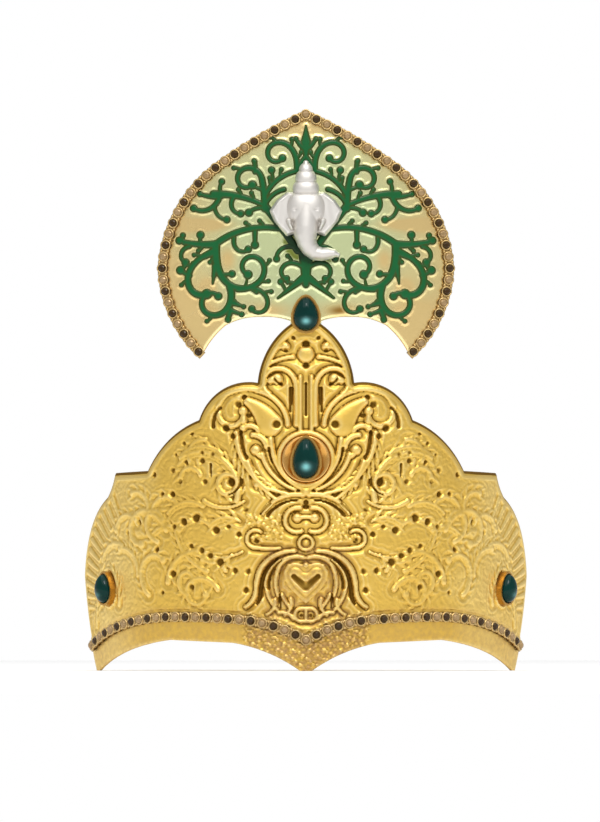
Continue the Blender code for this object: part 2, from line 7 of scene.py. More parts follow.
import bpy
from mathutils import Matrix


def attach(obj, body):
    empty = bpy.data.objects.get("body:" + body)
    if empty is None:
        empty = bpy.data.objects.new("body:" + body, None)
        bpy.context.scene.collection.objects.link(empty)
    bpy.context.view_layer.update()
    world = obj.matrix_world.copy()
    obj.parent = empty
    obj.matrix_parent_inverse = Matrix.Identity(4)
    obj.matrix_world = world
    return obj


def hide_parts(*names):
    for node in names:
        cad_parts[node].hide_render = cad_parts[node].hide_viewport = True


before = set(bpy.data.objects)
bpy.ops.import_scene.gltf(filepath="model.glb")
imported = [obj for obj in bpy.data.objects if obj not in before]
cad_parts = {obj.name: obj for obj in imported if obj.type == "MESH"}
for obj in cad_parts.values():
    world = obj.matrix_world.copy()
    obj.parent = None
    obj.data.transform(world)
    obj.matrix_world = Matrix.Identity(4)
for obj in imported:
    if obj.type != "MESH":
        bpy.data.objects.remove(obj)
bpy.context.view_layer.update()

import math
from collections import namedtuple

import bmesh
import bpy
import numpy as np
from mathutils import Matrix, Vector

# Tiara
# One sheet of thin brass, bent round the front of the head, embossed from behind with scrolls,
# leaves and a heart, trimmed to its lobes and gilt. The back shows the same work in reverse.
MM = 0.001
TIARA_RADIUS = 62.0
ARC_CENTRE_Y = 42.5
TIARA_BULGE = 1.5
BULGE_MIDDLE = 40.0
BULGE_REACH = 45.0
TIARA_SHEET = 0.7
BACK_SHARE = 0.8
TIARA_CELL = 0.33
TIARA_SIZE = (162.0, 98.0)
TIARA_KEPT = 0.57
RIDGE = 1.0
RIDGE_LEAST = 0.45
SCROLL_STEP = 0.7
FIELD_DEPTH = 0.25

Arc = namedtuple("Arc", "u v swell")
Stroke = namedtuple("Stroke", "u v heading length bend tighten width_in width_out bud")
Pit = namedtuple("Pit", "u v radius depth")


def rows(kind, table):
    return [kind(*row) for row in table]


TIARA_EDGE = [
    Arc(1.6, 0.0, 0.0),
    Arc(20.0, 7.6, -1.2),
    Arc(39.0, 8.4, 0.0),
    Arc(70.4, 0.0, -1.3),
    Arc(72.2, 0.0, 0.0),
    Arc(80.0, 26.0, 0.9),
    Arc(64.0, 47.5, 3.2),
    Arc(60.4, 53.9, -0.5),
    Arc(46.8, 54.3, 0.0),
    Arc(30.0, 67.9, 1.9),
    Arc(13.2, 77.9, 3.6),
    Arc(0.0, 96.0, 3.2),
]
STONE_LINE = [
    Arc(0.0, 8.3, 0.0),
    Arc(20.0, 14.0, -1.3),
    Arc(39.0, 14.6, -0.2),
    Arc(74.0, 6.2, -1.9),
]
TIARA_SCROLLS = rows(Stroke, [
    (2.5, 66.5, 92, 10.2, -4, 0, 1.3, 1.3, 0),
    (2.5, 76.4, 90, 18.0, -240, 0.3, 1.3, 1.1, 0),
    (9.6, 78.4, 150, 2.0, 30, 0, 1.6, 2.0, 1.35),
    (1.5, 79.5, -90, 14.6, 0, 0, 0.8, 0.8, 0),
    (3.4, 84.9, -4, 7.6, -28, 0, 1.0, 0.6, 0),
    (8.4, 86.6, 130, 3.2, 60, 0, 0.8, 0.9, 1.1),
    (4.8, 66.5, 88, 14.0, -75, -0.3, 1.2, 1.2, 0),
    (12.8, 76.2, 12, 27.0, -300, 0.8, 1.5, 1.2, 1.1),
    (15.7, 72.8, 208, 8.6, 36, 0, 2.2, 6.8, 3.3),
    (17.4, 70.6, 240, 3.2, 40, 0, 1.0, 1.6, 0.9),
    (12.6, 64.9, 60, 5.0, -100, 0, 1.4, 1.0, 0.9),
    (10.2, 60.6, 78, 5.6, -80, 0, 1.8, 1.2, 0),
    (12.0, 58.0, 30, 2.2, 40, 0, 1.2, 1.4, 1.3),
    (9.4, 62.5, -95, 18.5, -70, 0.3, 1.5, 1.0, 0),
    (11.6, 58.5, -105, 13.5, -55, 0, 1.2, 0.7, 0),
    (15.6, 56.5, -110, 13.0, -35, 0, 1.5, 0.6, 0),
    (18.9, 64.2, -96, 18.0, -48, 0, 1.4, 0.9, 0),
    (5.0, 47.9, 12, 8.4, 8, 0, 0.9, 0.5, 0.7),
    (0.8, 47.6, 8, 12.5, -66, 0, 1.4, 0.7, 0),
    (1.5, 44.1, 8, 12.2, -212, 0.1, 1.1, 0.9, 0),
    (0.4, 41.6, -8, 1.9, 0, 0, 0.9, 1.1, 1.15),
    (0.6, 30.6, 18, 7.0, -70, 0, 0.9, 1.0, 0),
    (6.9, 28.5, -62, 8.4, -50, 0, 1.0, 0.8, 0),
    (6.4, 20.6, -115, 4.5, -15, 0, 0.8, 0.6, 0),
    (3.0, 32.4, 0, 14.6, -91, 0.3, 1.0, 1.4, 0),
    (13.1, 24.0, -91, 7.8, 64, 0.6, 1.4, 1.0, 0),
    (2.2, 31.0, -2, 12.6, -88, 0.2, 0.9, 1.0, 0),
    (10.5, 23.4, -91, 7.6, -44, 0, 1.0, 0.7, 0),
    (6.8, 33.1, -5, 7.4, 16, 0, 0.5, 0.9, 0),
    (13.9, 33.4, 12, 8.4, 205, 0, 0.9, 0.6, 0),
    (17.0, 32.2, -26, 16.0, 54, 0, 0.3, 0.9, 0),
    (1.2, 16.9, 0, 5.6, -180, 0, 0.8, 0.8, 0),
    (3.3, 14.2, 55, 4.6, -70, 0, 1.0, 0.6, 0),
    (4.0, 19.4, -105, 5.0, 70, 0, 1.0, 0.6, 0),
    (8.2, 19.2, -100, 5.0, 80, 0, 1.0, 0.6, 0),
    (18.5, 46.0, 105, 26.0, -135, -0.1, 1.6, 1.0, 0),
    (18.3, 50.5, 90, 16.0, -330, 0, 1.3, 1.1, 0),
    (16.6, 45.8, -34, 12.0, 70, 0, 0.4, 1.1, 0),
    (28.2, 44.6, 30, 12.0, -80, 0, 1.2, 0.7, 0),
    (17.6, 40.4, 34, 9.5, -80, 0, 0.3, 1.0, 0),
    (26.4, 39.8, 36, 9.5, -80, 0, 1.2, 0.7, 0),
    (35.4, 38.0, 36, 9.5, -80, 0, 1.2, 0.7, 0),
    (39.2, 24.0, 95, 24.0, 150, 0, 1.6, 1.0, 0),
    (24.0, 22.0, 60, 22.0, -330, 0.5, 1.3, 0.9, 1.0),
    (33.0, 20.6, 20, 14.0, 320, 0.5, 1.3, 1.0, 1.0),
    (39.6, 38.2, 62, 25.0, -250, 0.6, 1.6, 1.1, 1.1),
    (42.6, 35.0, 20, 16.0, 250, 0.6, 1.3, 1.0, 1.0),
    (46.0, 20.6, 40, 18.0, 190, 0.4, 1.4, 1.0, 1.0),
    (56.2, 34.0, 25, 12.0, -95, 0, 1.3, 0.9, 0),
    (22.8, 58.6, 40, 13.0, -80, 0, 1.2, 0.8, 0),
    (27.6, 62.6, 10, 9.0, -120, 0, 1.1, 0.8, 0.8),
    (29.0, 53.0, 70, 9.0, -160, 0, 1.1, 0.8, 0.8),
    (36.0, 45.0, 60, 12.0, -150, 0, 1.2, 0.8, 0.9),
    (46.0, 44.0, 95, 9.0, -120, 0, 1.2, 0.8, 0.8),
    (50.0, 40.0, 60, 12.0, -140, 0, 1.2, 0.8, 0.8),
    (27.0, 27.0, 20, 16.0, 60, 0, 1.2, 0.7, 0),
    (20.0, 31.5, -50, 9.0, 80, 0, 0.4, 0.9, 0.8),
    (50.0, 26.0, 100, 12.0, -110, 0, 1.2, 0.9, 0.9),
    (58.2, 18.0, 100, 13.0, -64, 0, 1.1, 0.8, 0),
    (67.0, 18.0, 80, 13.0, 64, 0, 1.1, 0.8, 0),
    (70.5, 12.0, 96, 14.0, 20, 0, 1.1, 0.7, 0),
])
TIARA_MIDDLE = rows(Stroke, [
    (0.0, 64.3, 0, 44.6, -360, 0, 1.3, 1.3, 0),
    (0.0, 36.4, 0, 11.6, -360, 0, 0.6, 0.6, 0),
    (0.0, 84.9, 90, 0.6, 0, 0, 0.4, 0.4, 2.15),
    (0.0, 48.0, 90, 0.4, 0, 0, 0.4, 0.4, 1.2),
    (0.0, 28.3, 90, 0.2, 0, 0, 0.2, 0.2, 0.8),
    (-1.2, 16.9, 0, 2.4, 0, 0, 0.8, 0.8, 0),
    (-1.2, 13.4, 0, 2.4, 0, 0, 0.8, 0.8, 0),
    (0.0, 16.6, -90, 3.0, 0, 0, 0.5, 0.5, 0),
])
TIARA_GROOVES = rows(Stroke, [
    (4.0, 76.2, -88, 6.2, 0, 0, 1.4, 0.5, 0),
    (0.0, 77.6, -90, 8.4, 0, 0, 1.0, 0.8, 0),
    (3.2, 25.5, 222, 4.3, 0, 0, 1.6, 2.2, 0),
    (7.4, 30.2, -31, 11.4, -62, -0.2, 0.7, 1.7, 0),
    (12.2, 20.6, -90, 2.8, 40, 0, 1.7, 0.6, 0),
    (6.4, 29.9, -34, 8.6, -60, 0, 0.5, 1.2, 0),
    (7.0, 20.6, -95, 3.6, 0, 0, 0.9, 0.5, 0),
    (2.4, 46.1, -2, 9.2, -52, 0, 0.6, 1.1, 0),
    (17.5, 64.8, -88, 7.6, -30, 0, 1.0, 1.0, 0),
    (23.4, 71.2, -38, 5.8, -60, 0, 0.9, 1.3, 0),
    (17.3, 51.6, -84, 5.6, 70, 0, 1.2, 0.5, 0),
    (9.8, 60.2, -95, 4.0, -14, 0, 0.9, 0.5, 0),
    (9.4, 45.2, -42, 4.0, -10, 0, 0.9, 0.4, 0),
    (26.0, 56.0, -90, 3.4, 0, 0, 0.7, 0.4, 0),
    (6.6, 77.5, 10, 2.4, 60, 0, 0.8, 0.6, 0),
])
TIARA_PITS = rows(Pit, [
    (0.0, 88.5, 1.0, 0.9), (0.0, 82.4, 0.8, 0.8), (3.5, 89.9, 0.6, 0.7), (5.6, 86.7, 0.6, 0.7),
    (7.9, 66.6, 1.1, 1.1), (17.0, 74.0, 0.7, 0.8), (18.6, 72.1, 0.9, 0.8), (15.4, 69.0, 0.6, 0.6),
    (21.8, 65.8, 1.0, 0.9), (19.7, 63.5, 0.9, 0.8), (31.1, 64.2, 0.6, 0.5), (33.2, 61.6, 0.6, 0.5),
    (28.2, 59.1, 0.6, 0.5), (28.2, 56.8, 0.8, 0.7), (32.6, 56.5, 0.7, 0.6), (25.3, 58.6, 0.6, 0.5),
    (35.4, 58.6, 0.5, 0.5), (20.2, 51.0, 1.15, 1.1), (27.4, 51.2, 0.8, 0.6), (36.2, 54.3, 0.8, 0.5),
    (34.1, 51.4, 0.7, 0.5), (41.4, 53.2, 0.8, 0.6), (36.2, 47.8, 0.9, 0.7), (39.1, 47.8, 0.7, 0.5),
    (29.8, 41.3, 1.1, 1.0), (33.1, 40.3, 1.0, 0.9), (35.7, 39.0, 0.7, 0.6), (24.3, 38.0, 1.0, 0.9),
    (21.0, 39.0, 0.7, 0.6), (18.1, 36.9, 0.8, 0.8), (13.4, 35.3, 0.8, 0.8), (45.5, 40.3, 0.8, 0.6),
    (48.6, 37.7, 0.7, 0.5), (40.6, 33.0, 0.8, 0.6), (23.3, 29.4, 1.1, 1.0), (25.9, 31.2, 0.9, 0.8),
    (28.2, 32.5, 0.8, 0.7), (31.1, 33.8, 0.7, 0.6), (19.2, 27.1, 0.9, 0.7), (36.2, 26.3, 0.9, 0.8),
    (31.1, 22.7, 0.8, 0.7), (16.2, 21.8, 0.9, 0.8), (39.1, 21.2, 0.6, 0.5), (1.3, 15.0, 0.5, 0.6),
    (0.0, 45.5, 0.7, 1.1), (0.0, 44.4, 0.7, 1.1), (15.6, 26.9, 0.9, 0.6), (16.3, 43.6, 0.8, 0.5),
])
HEART = [
    (0.0, 27.7), (1.2, 28.9), (3.0, 29.4), (4.8, 28.7), (5.9, 26.9), (5.6, 24.6), (4.0, 22.0),
    (0.0, 18.0),
]
HEART_RIM = 0.35
HEART_RISE = 0.55
HEART_SLOPE = 3.0
HEART_LINE = 0.30
PILLOW = 0.45
ECHO_RISE = 0.10
ECHO_FROM = 0.35
ECHO_PITCH = 1.15
TRENCH_DEPTH = 0.18
LEAF_PITCH = 2.3
LEAF_TURN = 52.0
LEAF_LENGTH = 3.3
LEAF_BEND = -45.0
LEAF_WIDTHS = (1.5, 0.6)
LEAF_RISE = 0.75
LEAVES_FROM = 17.0
SOFT_FROM = 15.0
SOFT_FULL = 27.0
SOFT_SHARE = 0.42
SWELL = 0.12
GROOVE_DEPTH = 0.9
FLUTES = 12
FLUTE_FIRST = (61.4, 47.6)
FLUTE_LAST = (78.0, 17.5)
FLUTE_SWELL = 3.4
FLUTE_HEADING = (236.0, 182.0)
FLUTE_LENGTH = 6.5
FLUTE_WIDTHS = (1.7, 0.7)
EDGE_RIDGE_AT = 1.9
EDGE_RIDGE_HALF = 0.65
EDGE_ROLL = 1.1
EDGE_ROLL_DEPTH = 0.6
DISH_RADIUS = 6.4
DISH_CENTRE = (0.0, 57.2)
SIDE_SEAT = (62.6, 22.6)
SIDE_SEAT_HALF = (4.0, 5.6)
SIDE_SEAT_RIM = 0.55
BEAD_PITCH = 0.95
BEAD_RADIUS = 0.48
BEAD_RISE = 0.55
BEAD_ROW_SHARE = 0.87
BEAD_STRAY = 0.26
BEAD_HALF_SPAN = 17.5
BEADS_OVER_STONES = (1.0, 1.3, 2.2, 2.6)
BEADS_ACROSS = (5.6, 6.2, 15.5, 16.5)
BEADS_UP = (34.4, 35.0, 42.4, 43.0)


def arc_points(arcs, chord):
    """The points of a row of arcs, each cut into chords of about that length."""
    points = [np.array(arcs[0][:2], float)]
    for arc in arcs[1:]:
        a, b = points[-1], np.array(arc[:2], float)
        length = math.dist(a, b)
        steps = max(1, math.ceil(length / chord))
        normal = np.array([b[1] - a[1], a[0] - b[0]]) / length
        for i in range(1, steps + 1):
            t = i / steps
            if abs(arc.swell) < 0.05:
                bow = 0.0
            else:
                radius = (length**2 / 4 + arc.swell**2) / (2 * arc.swell)
                off = (t - 0.5) * length
                bow = math.copysign(math.sqrt(radius**2 - off**2), radius) - radius + arc.swell
            points.append(a + (b - a) * t + normal * bow)
    return np.array(points)


def closed_outline(arcs, chord=1.0):
    right = arc_points(arcs, chord)
    left = right[::-1] * (-1, 1)
    return np.concatenate([right, left[np.abs(left[:, 0]) > 1e-6]])


def line_distance(points, line):
    """Each point's distance to a polyline, and the length along it there."""
    found = np.full(len(points), 1e9)
    along = np.zeros(len(points))
    start = 0.0
    for a, b in zip(line, line[1:]):
        d = b - a
        span = math.hypot(*d)
        if span < 1e-9:
            continue
        t = np.clip(((points - a) @ d) / span**2, 0, 1)
        far = np.hypot(points[:, 0] - a[0] - t * d[0], points[:, 1] - a[1] - t * d[1])
        closer = far < found
        found[closer] = far[closer]
        along[closer] = start + t[closer] * span
        start += span
    return found, along


def outline_distance(points, outline):
    """The distance to a closed outline, negative inside it."""
    ring = np.concatenate([outline, outline[:1]])
    far, _ = line_distance(points, ring)
    crossings = np.zeros(len(points), int)
    for (u0, v0), (u1, v1) in zip(ring, ring[1:]):
        if v0 == v1:
            continue
        spans = (points[:, 1] < max(v0, v1)) & (points[:, 1] >= min(v0, v1))
        at = u0 + (points[:, 1] - v0) * (u1 - u0) / (v1 - v0)
        crossings += spans & (points[:, 0] < at)
    return np.where(crossings % 2 == 1, -far, far)


def stroke_line(stroke):
    """The centre line of a stroke, which bends evenly or ever more tightly, as a scroll does."""
    steps = max(3, math.ceil(stroke.length / SCROLL_STEP), math.ceil(abs(stroke.bend) / 14))
    t = (np.arange(steps) + 0.5) / steps
    heading = np.radians(stroke.heading + stroke.bend * (t + stroke.tighten * (t * t - t)))
    ahead = np.stack([np.cos(heading), np.sin(heading)], 1) * stroke.length / steps
    return np.concatenate([[[stroke.u, stroke.v]], np.cumsum(ahead, 0) + (stroke.u, stroke.v)])


def mirrored(strokes):
    """The strokes of the right half and their mirror images on the left."""
    left = [s._replace(u=-s.u, heading=180 - s.heading, bend=-s.bend) for s in strokes]
    return list(strokes) + left


def stroke_edges(points, strokes, reach):
    """For the nearest stroke: the distance beyond its edge, and its half width there."""
    edge = np.full(len(points), 1e9)
    half_width = np.ones(len(points))
    order = np.argsort(points[:, 0])
    ranked = points[order]
    for stroke in strokes:
        line = stroke_line(stroke)
        room = reach + max(stroke.width_in, stroke.width_out, 2 * stroke.bud) / 2
        low, high = line.min(0) - room, line.max(0) + room
        first, last = np.searchsorted(ranked[:, 0], (low[0], high[0]))
        slab = ranked[first:last]
        near = order[first:last][(slab[:, 1] > low[1]) & (slab[:, 1] < high[1])]
        if len(near) == 0:
            continue
        kept = points[near]
        far, place = line_distance(kept, line)
        half = (stroke.width_in + (stroke.width_out - stroke.width_in) * place / stroke.length) / 2
        beyond = far - half
        if stroke.bud:
            from_bud = np.hypot(*(kept - line[-1]).T) - stroke.bud
            half = np.where(from_bud < beyond, stroke.bud, half)
            beyond = np.minimum(beyond, from_bud)
        closer = beyond < edge[near]
        edge[near[closer]] = beyond[closer]
        half_width[near[closer]] = half[closer]
    return edge, half_width


def soft_step(low, high, x):
    t = np.clip((x - low) / (high - low), 0, 1)
    return t * t * (3 - 2 * t)


def plateau(x, limits):
    """Rises from 0 to 1 between the first two limits and falls again between the last two."""
    return soft_step(limits[0], limits[1], x) * soft_step(limits[3], limits[2], x)


def bump(x, half):
    """A round ridge across x, of height 1 and that half width."""
    return np.sqrt(np.clip(1 - (x / half) ** 2, 0, 1))


def hump(x, middle, spread):
    """A soft ridge across x, of height 1, that runs out on both sides."""
    return np.exp(-(((x - middle) / spread) ** 2))


def round_strokes(points, strokes, reach):
    """The round section of the nearest stroke, 1 along its middle and 0 beyond its edge."""
    edge, half = stroke_edges(points, strokes, reach)
    return bump(edge + half, half)


def folded(points):
    """The flat places with the left half laid over the right."""
    return np.stack([np.abs(points[:, 0]), points[:, 1]], 1)


def lengths_along(line):
    """The length of a line up to each of its points."""
    return np.concatenate([[0], np.cumsum(np.hypot(*np.diff(line, axis=0).T))])


def heading_into(line, i):
    """Which way a line runs into one of its points, in degrees."""
    ahead = line[i] - line[i - 1]
    return math.degrees(math.atan2(ahead[1], ahead[0]))


def hollows(points, pits):
    """How deep the punched hollows are. Their places are those seen from the front."""
    deep = np.zeros(len(points))
    for pit in pits:
        u = TIARA_RADIUS * math.asin(pit.u / (TIARA_RADIUS + TIARA_BULGE))
        far = np.hypot(np.abs(points[:, 0]) - u, points[:, 1] - pit.v)
        deep = np.maximum(deep, pit.depth * np.exp(-((far / pit.radius) ** 4)))
    return deep


def beads(points, pitch, radius, rise):
    """A field of punched grains, struck by hand: uneven in their places and in their height."""
    row_pitch = pitch * BEAD_ROW_SHARE
    row = np.round(points[:, 1] / row_pitch)
    shift = np.where(row % 2 == 0, 0.0, pitch / 2)
    column = np.round((points[:, 0] - shift) / pitch)
    stray_u = BEAD_STRAY * pitch * np.sin(12.9 * row + 78.2 * column)
    stray_v = BEAD_STRAY * pitch * np.sin(39.3 * row + 11.1 * column)
    struck = 0.55 + 0.45 * np.sin(27.1 * row + 51.7 * column)
    across = points[:, 0] - shift - column * pitch - stray_u
    up = points[:, 1] - row * pitch * BEAD_ROW_SHARE - stray_v
    return rise * struck * bump(np.hypot(across, up), radius)


def flutes():
    """The short ribs that radiate along the two ends of the tiara."""
    found = []
    for i in range(FLUTES):
        t = i / (FLUTES - 1)
        swell = FLUTE_SWELL * math.sin(math.pi * t)
        u = FLUTE_FIRST[0] + (FLUTE_LAST[0] - FLUTE_FIRST[0]) * t + swell
        v = FLUTE_FIRST[1] + (FLUTE_LAST[1] - FLUTE_FIRST[1]) * t + swell * 0.5
        heading = FLUTE_HEADING[0] + (FLUTE_HEADING[1] - FLUTE_HEADING[0]) * t
        found.append(Stroke(u, v, heading, FLUTE_LENGTH, 0, 0, *FLUTE_WIDTHS, 0))
    return found


def leaves(strokes):
    """The short curled leaves that grow from both sides of each scroll."""
    found = []
    for stroke in strokes:
        line = stroke_line(stroke)
        reach = lengths_along(line)
        for at in np.arange(LEAF_PITCH / 2, reach[-1], LEAF_PITCH):
            i = min(np.searchsorted(reach, at), len(line) - 1)
            for side in (-1, 1):
                turned = heading_into(line, i) + side * LEAF_TURN
                found.append(
                    Stroke(*line[i], turned, LEAF_LENGTH, side * LEAF_BEND, 0, *LEAF_WIDTHS, 0)
                )
    return found


tiara_outline = closed_outline(TIARA_EDGE)
stone_line_right = arc_points(STONE_LINE, 0.8)
stone_line = np.concatenate([stone_line_right[:0:-1] * (-1, 1), stone_line_right])
heart_right = np.array(HEART, float)
heart_outline = np.concatenate([heart_right, heart_right[-2:0:-1] * (-1, 1)])
tiara_strokes = mirrored(TIARA_SCROLLS + flutes()) + TIARA_MIDDLE
tiara_grooves = mirrored(TIARA_GROOVES)
tiara_leaves = leaves([s for s in TIARA_SCROLLS if s.u > LEAVES_FROM and s.length > 7])


def above_stones(points):
    """The height over the middle of the row of stones."""
    return points[:, 1] - np.interp(points[:, 0], stone_line[:, 0], stone_line[:, 1])


def tiara_distance(points):
    return outline_distance(points, tiara_outline)


def tiara_field(points):
    """How far each point is into the chased part of the sheet, from 0 at its border to 1."""
    inward = -tiara_distance(points)
    above = above_stones(points)
    return soft_step(1.9, 2.4, above) * soft_step(EDGE_RIDGE_AT, EDGE_RIDGE_AT + 0.8, inward)


def tiara_relief(points):
    """The height of the embossing at each point of the flat sheet."""
    inward = -tiara_distance(points)
    above = above_stones(points)
    both = folded(points)
    softer = 1 - (1 - SOFT_SHARE) * soft_step(SOFT_FROM, SOFT_FULL, both[:, 0])
    edge, half = stroke_edges(points, tiara_strokes, 4.0)
    edge, half = edge - SWELL, half + SWELL
    ridge = np.minimum(RIDGE, RIDGE_LEAST + 0.5 * half) * bump(edge + half, half) * softer
    leaf = (LEAF_RISE * round_strokes(both, tiara_leaves, 1.5) - FIELD_DEPTH) * softer
    wave = np.cos(2 * math.pi * (edge - ECHO_FROM) / ECHO_PITCH)
    echo = ECHO_RISE * softer * wave * soft_step(3.6, 2.2, edge)
    pillow = PILLOW * softer * soft_step(0.2, 1.5, edge) - FIELD_DEPTH * softer
    field = np.where(edge > 0, np.maximum(leaf, echo + pillow), ridge)
    field -= TRENCH_DEPTH * softer * hump(edge, 0.25, 0.22)
    in_heart = -outline_distance(both, heart_outline)
    mound = HEART_RIM + HEART_RISE * np.sqrt(np.clip(in_heart / HEART_SLOPE, 0, 1))
    mound -= HEART_LINE * hump(in_heart, 1.1, 0.3)
    field = np.where(in_heart > 0, mound, field)
    from_dish = np.hypot(points[:, 0] - DISH_CENTRE[0], points[:, 1] - DISH_CENTRE[1])
    field = np.where(from_dish < DISH_RADIUS, 0.0, field)
    seat = np.hypot(
        (both[:, 0] - SIDE_SEAT[0]) / SIDE_SEAT_HALF[0],
        (points[:, 1] - SIDE_SEAT[1]) / SIDE_SEAT_HALF[1],
    )
    field = np.where(seat < 1, SIDE_SEAT_RIM * soft_step(0.8, 0.95, seat), field)
    field -= GROOVE_DEPTH * round_strokes(points, tiara_grooves, 1.0)
    field -= hollows(points, TIARA_PITS)
    relief = field * tiara_field(points)
    outer = EDGE_RIDGE_HALF * softer * bump(inward - EDGE_RIDGE_AT, EDGE_RIDGE_HALF)
    relief = np.where((outer > 0) & (above > 1.5), np.maximum(relief, outer), relief)
    roll = np.clip(EDGE_ROLL - inward, 0, EDGE_ROLL) ** 2
    relief -= EDGE_ROLL_DEPTH * roll * soft_step(2.0, 4.0, above)
    grains = beads(points, BEAD_PITCH, BEAD_RADIUS, BEAD_RISE)
    near_row = soft_step(-1.0, -1.3, above) + plateau(above, BEADS_OVER_STONES)
    in_point = near_row * soft_step(BEAD_HALF_SPAN, BEAD_HALF_SPAN - 1, both[:, 0])
    patch = plateau(both[:, 0], BEADS_ACROSS) * plateau(both[:, 1], BEADS_UP) * (edge > 0.5)
    return relief + grains * np.maximum(in_point, patch)


def bend_tiara(points):
    """From the flat sheet's millimetres to its place in metres."""
    u, v, h = points.T
    t = np.clip((v - BULGE_MIDDLE) / BULGE_REACH, -1, 1)
    radius = TIARA_RADIUS + TIARA_BULGE * (1 - t * t) + h
    angle = u / TIARA_RADIUS
    y = ARC_CENTRE_Y - radius * np.cos(angle)
    return np.stack([radius * np.sin(angle), y, v], 1) * MM


def coordinates(verts):
    return np.array([v.co for v in verts])


def place(verts, points):
    for vert, point in zip(verts, points):
        vert.co = point


def cut_sheet(size, middle, cell, distance):
    """A flat sheet of square cells, cut along the outline where distance is zero."""
    bm = bmesh.new()
    columns, levels = (round(side / cell) for side in size)
    stretch = Matrix.Translation((*middle, 0)) @ Matrix.Diagonal((*size, 1, 1))
    bmesh.ops.create_grid(bm, x_segments=columns, y_segments=levels, size=0.5, matrix=stretch)
    far = distance(coordinates(bm.verts)[:, :2])
    outside = [v for v, f in zip(bm.verts, far) if f > KEPT_BEYOND * cell]
    bmesh.ops.delete(bm, geom=outside, context="VERTS")
    loose = [v for v in bm.verts if not v.link_faces]
    bmesh.ops.delete(bm, geom=loose, context="VERTS")
    rim = [v for v in bm.verts if v.is_boundary]
    points = coordinates(rim)
    nudge = 0.02
    for _ in range(RIM_ROUNDS):
        far = distance(points[:, :2])
        slope_u = (distance(points[:, :2] + (nudge, 0)) - distance(points[:, :2] - (nudge, 0))) / 2
        slope_v = (distance(points[:, :2] + (0, nudge)) - distance(points[:, :2] - (0, nudge))) / 2
        slope = np.stack([slope_u, slope_v], 1) / nudge
        steep = np.maximum(np.sum(slope**2, 1), 0.25)
        step = slope * (far / steep)[:, None]
        points[:, :2] -= np.clip(step, -cell, cell)
    place(rim, points)
    return bm


KEPT_BEYOND = 0.4
RIM_ROUNDS = 3


def thicken(bm, relief, back):
    """Raises the sheet to its relief and gives it a back and a rim."""
    groups = bm.verts.layers.deform.verify()
    made = bmesh.ops.extrude_face_region(bm, geom=bm.faces[:], use_keep_orig=True)
    front = [g for g in made["geom"] if isinstance(g, bmesh.types.BMVert)]
    on_front = set(front)
    behind = [v for v in bm.verts if v not in on_front]
    points = coordinates(front)
    points[:, 2] = relief(points[:, :2])
    place(front, points)
    points = coordinates(behind)
    points[:, 2] = back(points[:, :2])
    place(behind, points)
    for vert in behind:
        vert[groups][0] = 1.0
    bmesh.ops.recalc_face_normals(bm, faces=bm.faces)


def make_piece(
    name, bm, material, bend, kept=1.0, smooth=True, marks=None, marked_above=-math.inf
):
    """The finished piece. Its Hollow attribute says how far each point lies below what is round it.

    Marks are further values over the sheet, each a function of the flat places. They are left off
    what isn't above the last value. The share of the back's faces that is kept can be set too.
    """
    mesh = bpy.data.meshes.new(name)
    bm.to_mesh(mesh)
    bm.free()
    points = np.empty(len(mesh.vertices) * 3)
    mesh.vertices.foreach_get("co", points)
    points = points.reshape(-1, 3)
    pairs = np.empty(len(mesh.edges) * 2, int)
    mesh.edges.foreach_get("vertices", pairs)
    pairs = pairs.reshape(-1, 2)
    ends = np.concatenate([pairs[:, 0], pairs[:, 1]])
    others = np.concatenate([pairs[:, 1], pairs[:, 0]])
    counts = np.maximum(np.bincount(ends, minlength=len(points)), 1)
    level = points[:, 2].copy()
    for _ in range(HOLLOW_ROUNDS):
        level = np.bincount(ends, weights=level[others], minlength=len(points)) / counts
    hollow = mesh.attributes.new("Hollow", "FLOAT", "POINT")
    hollow.data.foreach_set("value", np.clip(level - points[:, 2], -1, 1))
    for mark, value in (marks or {}).items():
        held = mesh.attributes.new(mark, "FLOAT", "POINT")
        held.data.foreach_set("value", value(points[:, :2]) * (points[:, 2] > marked_above))
    mesh.vertices.foreach_set("co", bend(points).ravel())
    mesh.update()
    mesh.shade_smooth() if smooth else mesh.shade_flat()
    mesh.materials.append(material)
    piece = bpy.data.objects.new(name, mesh)
    bpy.context.scene.collection.objects.link(piece)
    if kept < 1:
        piece.vertex_groups.new(name="Back")
        thin = piece.modifiers.new("Plain back", "DECIMATE")
        thin.ratio = kept
        thin.vertex_group = "Back"
    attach(piece, "root")
    return piece


HOLLOW_ROUNDS = 5


def feed(tree, node, inputs):
    """Gives a node's inputs their values, or links them to the sockets that feed them."""
    for key, value in inputs.items():
        if isinstance(value, bpy.types.NodeSocket):
            tree.links.new(value, node.inputs[key])
        else:
            node.inputs[key].default_value = value


def add_node(tree, kind, inputs=None, **settings):
    node = tree.nodes.new(f"ShaderNode{kind}")
    for name, value in settings.items():
        setattr(node, name, value)
    feed(tree, node, inputs or {})
    return node


def object_place(tree):
    return add_node(tree, "TexCoord").outputs["Object"]


def mark_value(tree, name):
    """The value of one of the mesh's marks."""
    return add_node(tree, "Attribute", attribute_name=name).outputs["Fac"]


def noise(tree, scale, detail=2.0):
    inputs = {"Vector": object_place(tree), "Scale": scale, "Detail": detail}
    return add_node(tree, "TexNoise", inputs).outputs["Fac"]


def calculate(tree, operation, *values):
    return add_node(tree, "Math", dict(enumerate(values)), operation=operation).outputs[0]


def ranged(tree, value, low, high, start=0.0, end=1.0):
    """The value, brought from low and high to start and end, and held between them."""
    inputs = {"Value": value, "From Min": low, "From Max": high, "To Min": start, "To Max": end}
    return add_node(tree, "MapRange", inputs).outputs[0]


def mixed(tree, share, one, other, kind="RGBA"):
    inputs = {"Factor": share, "A": one, "B": other}
    return add_node(tree, "Mix", inputs, data_type=kind).outputs["Result"]


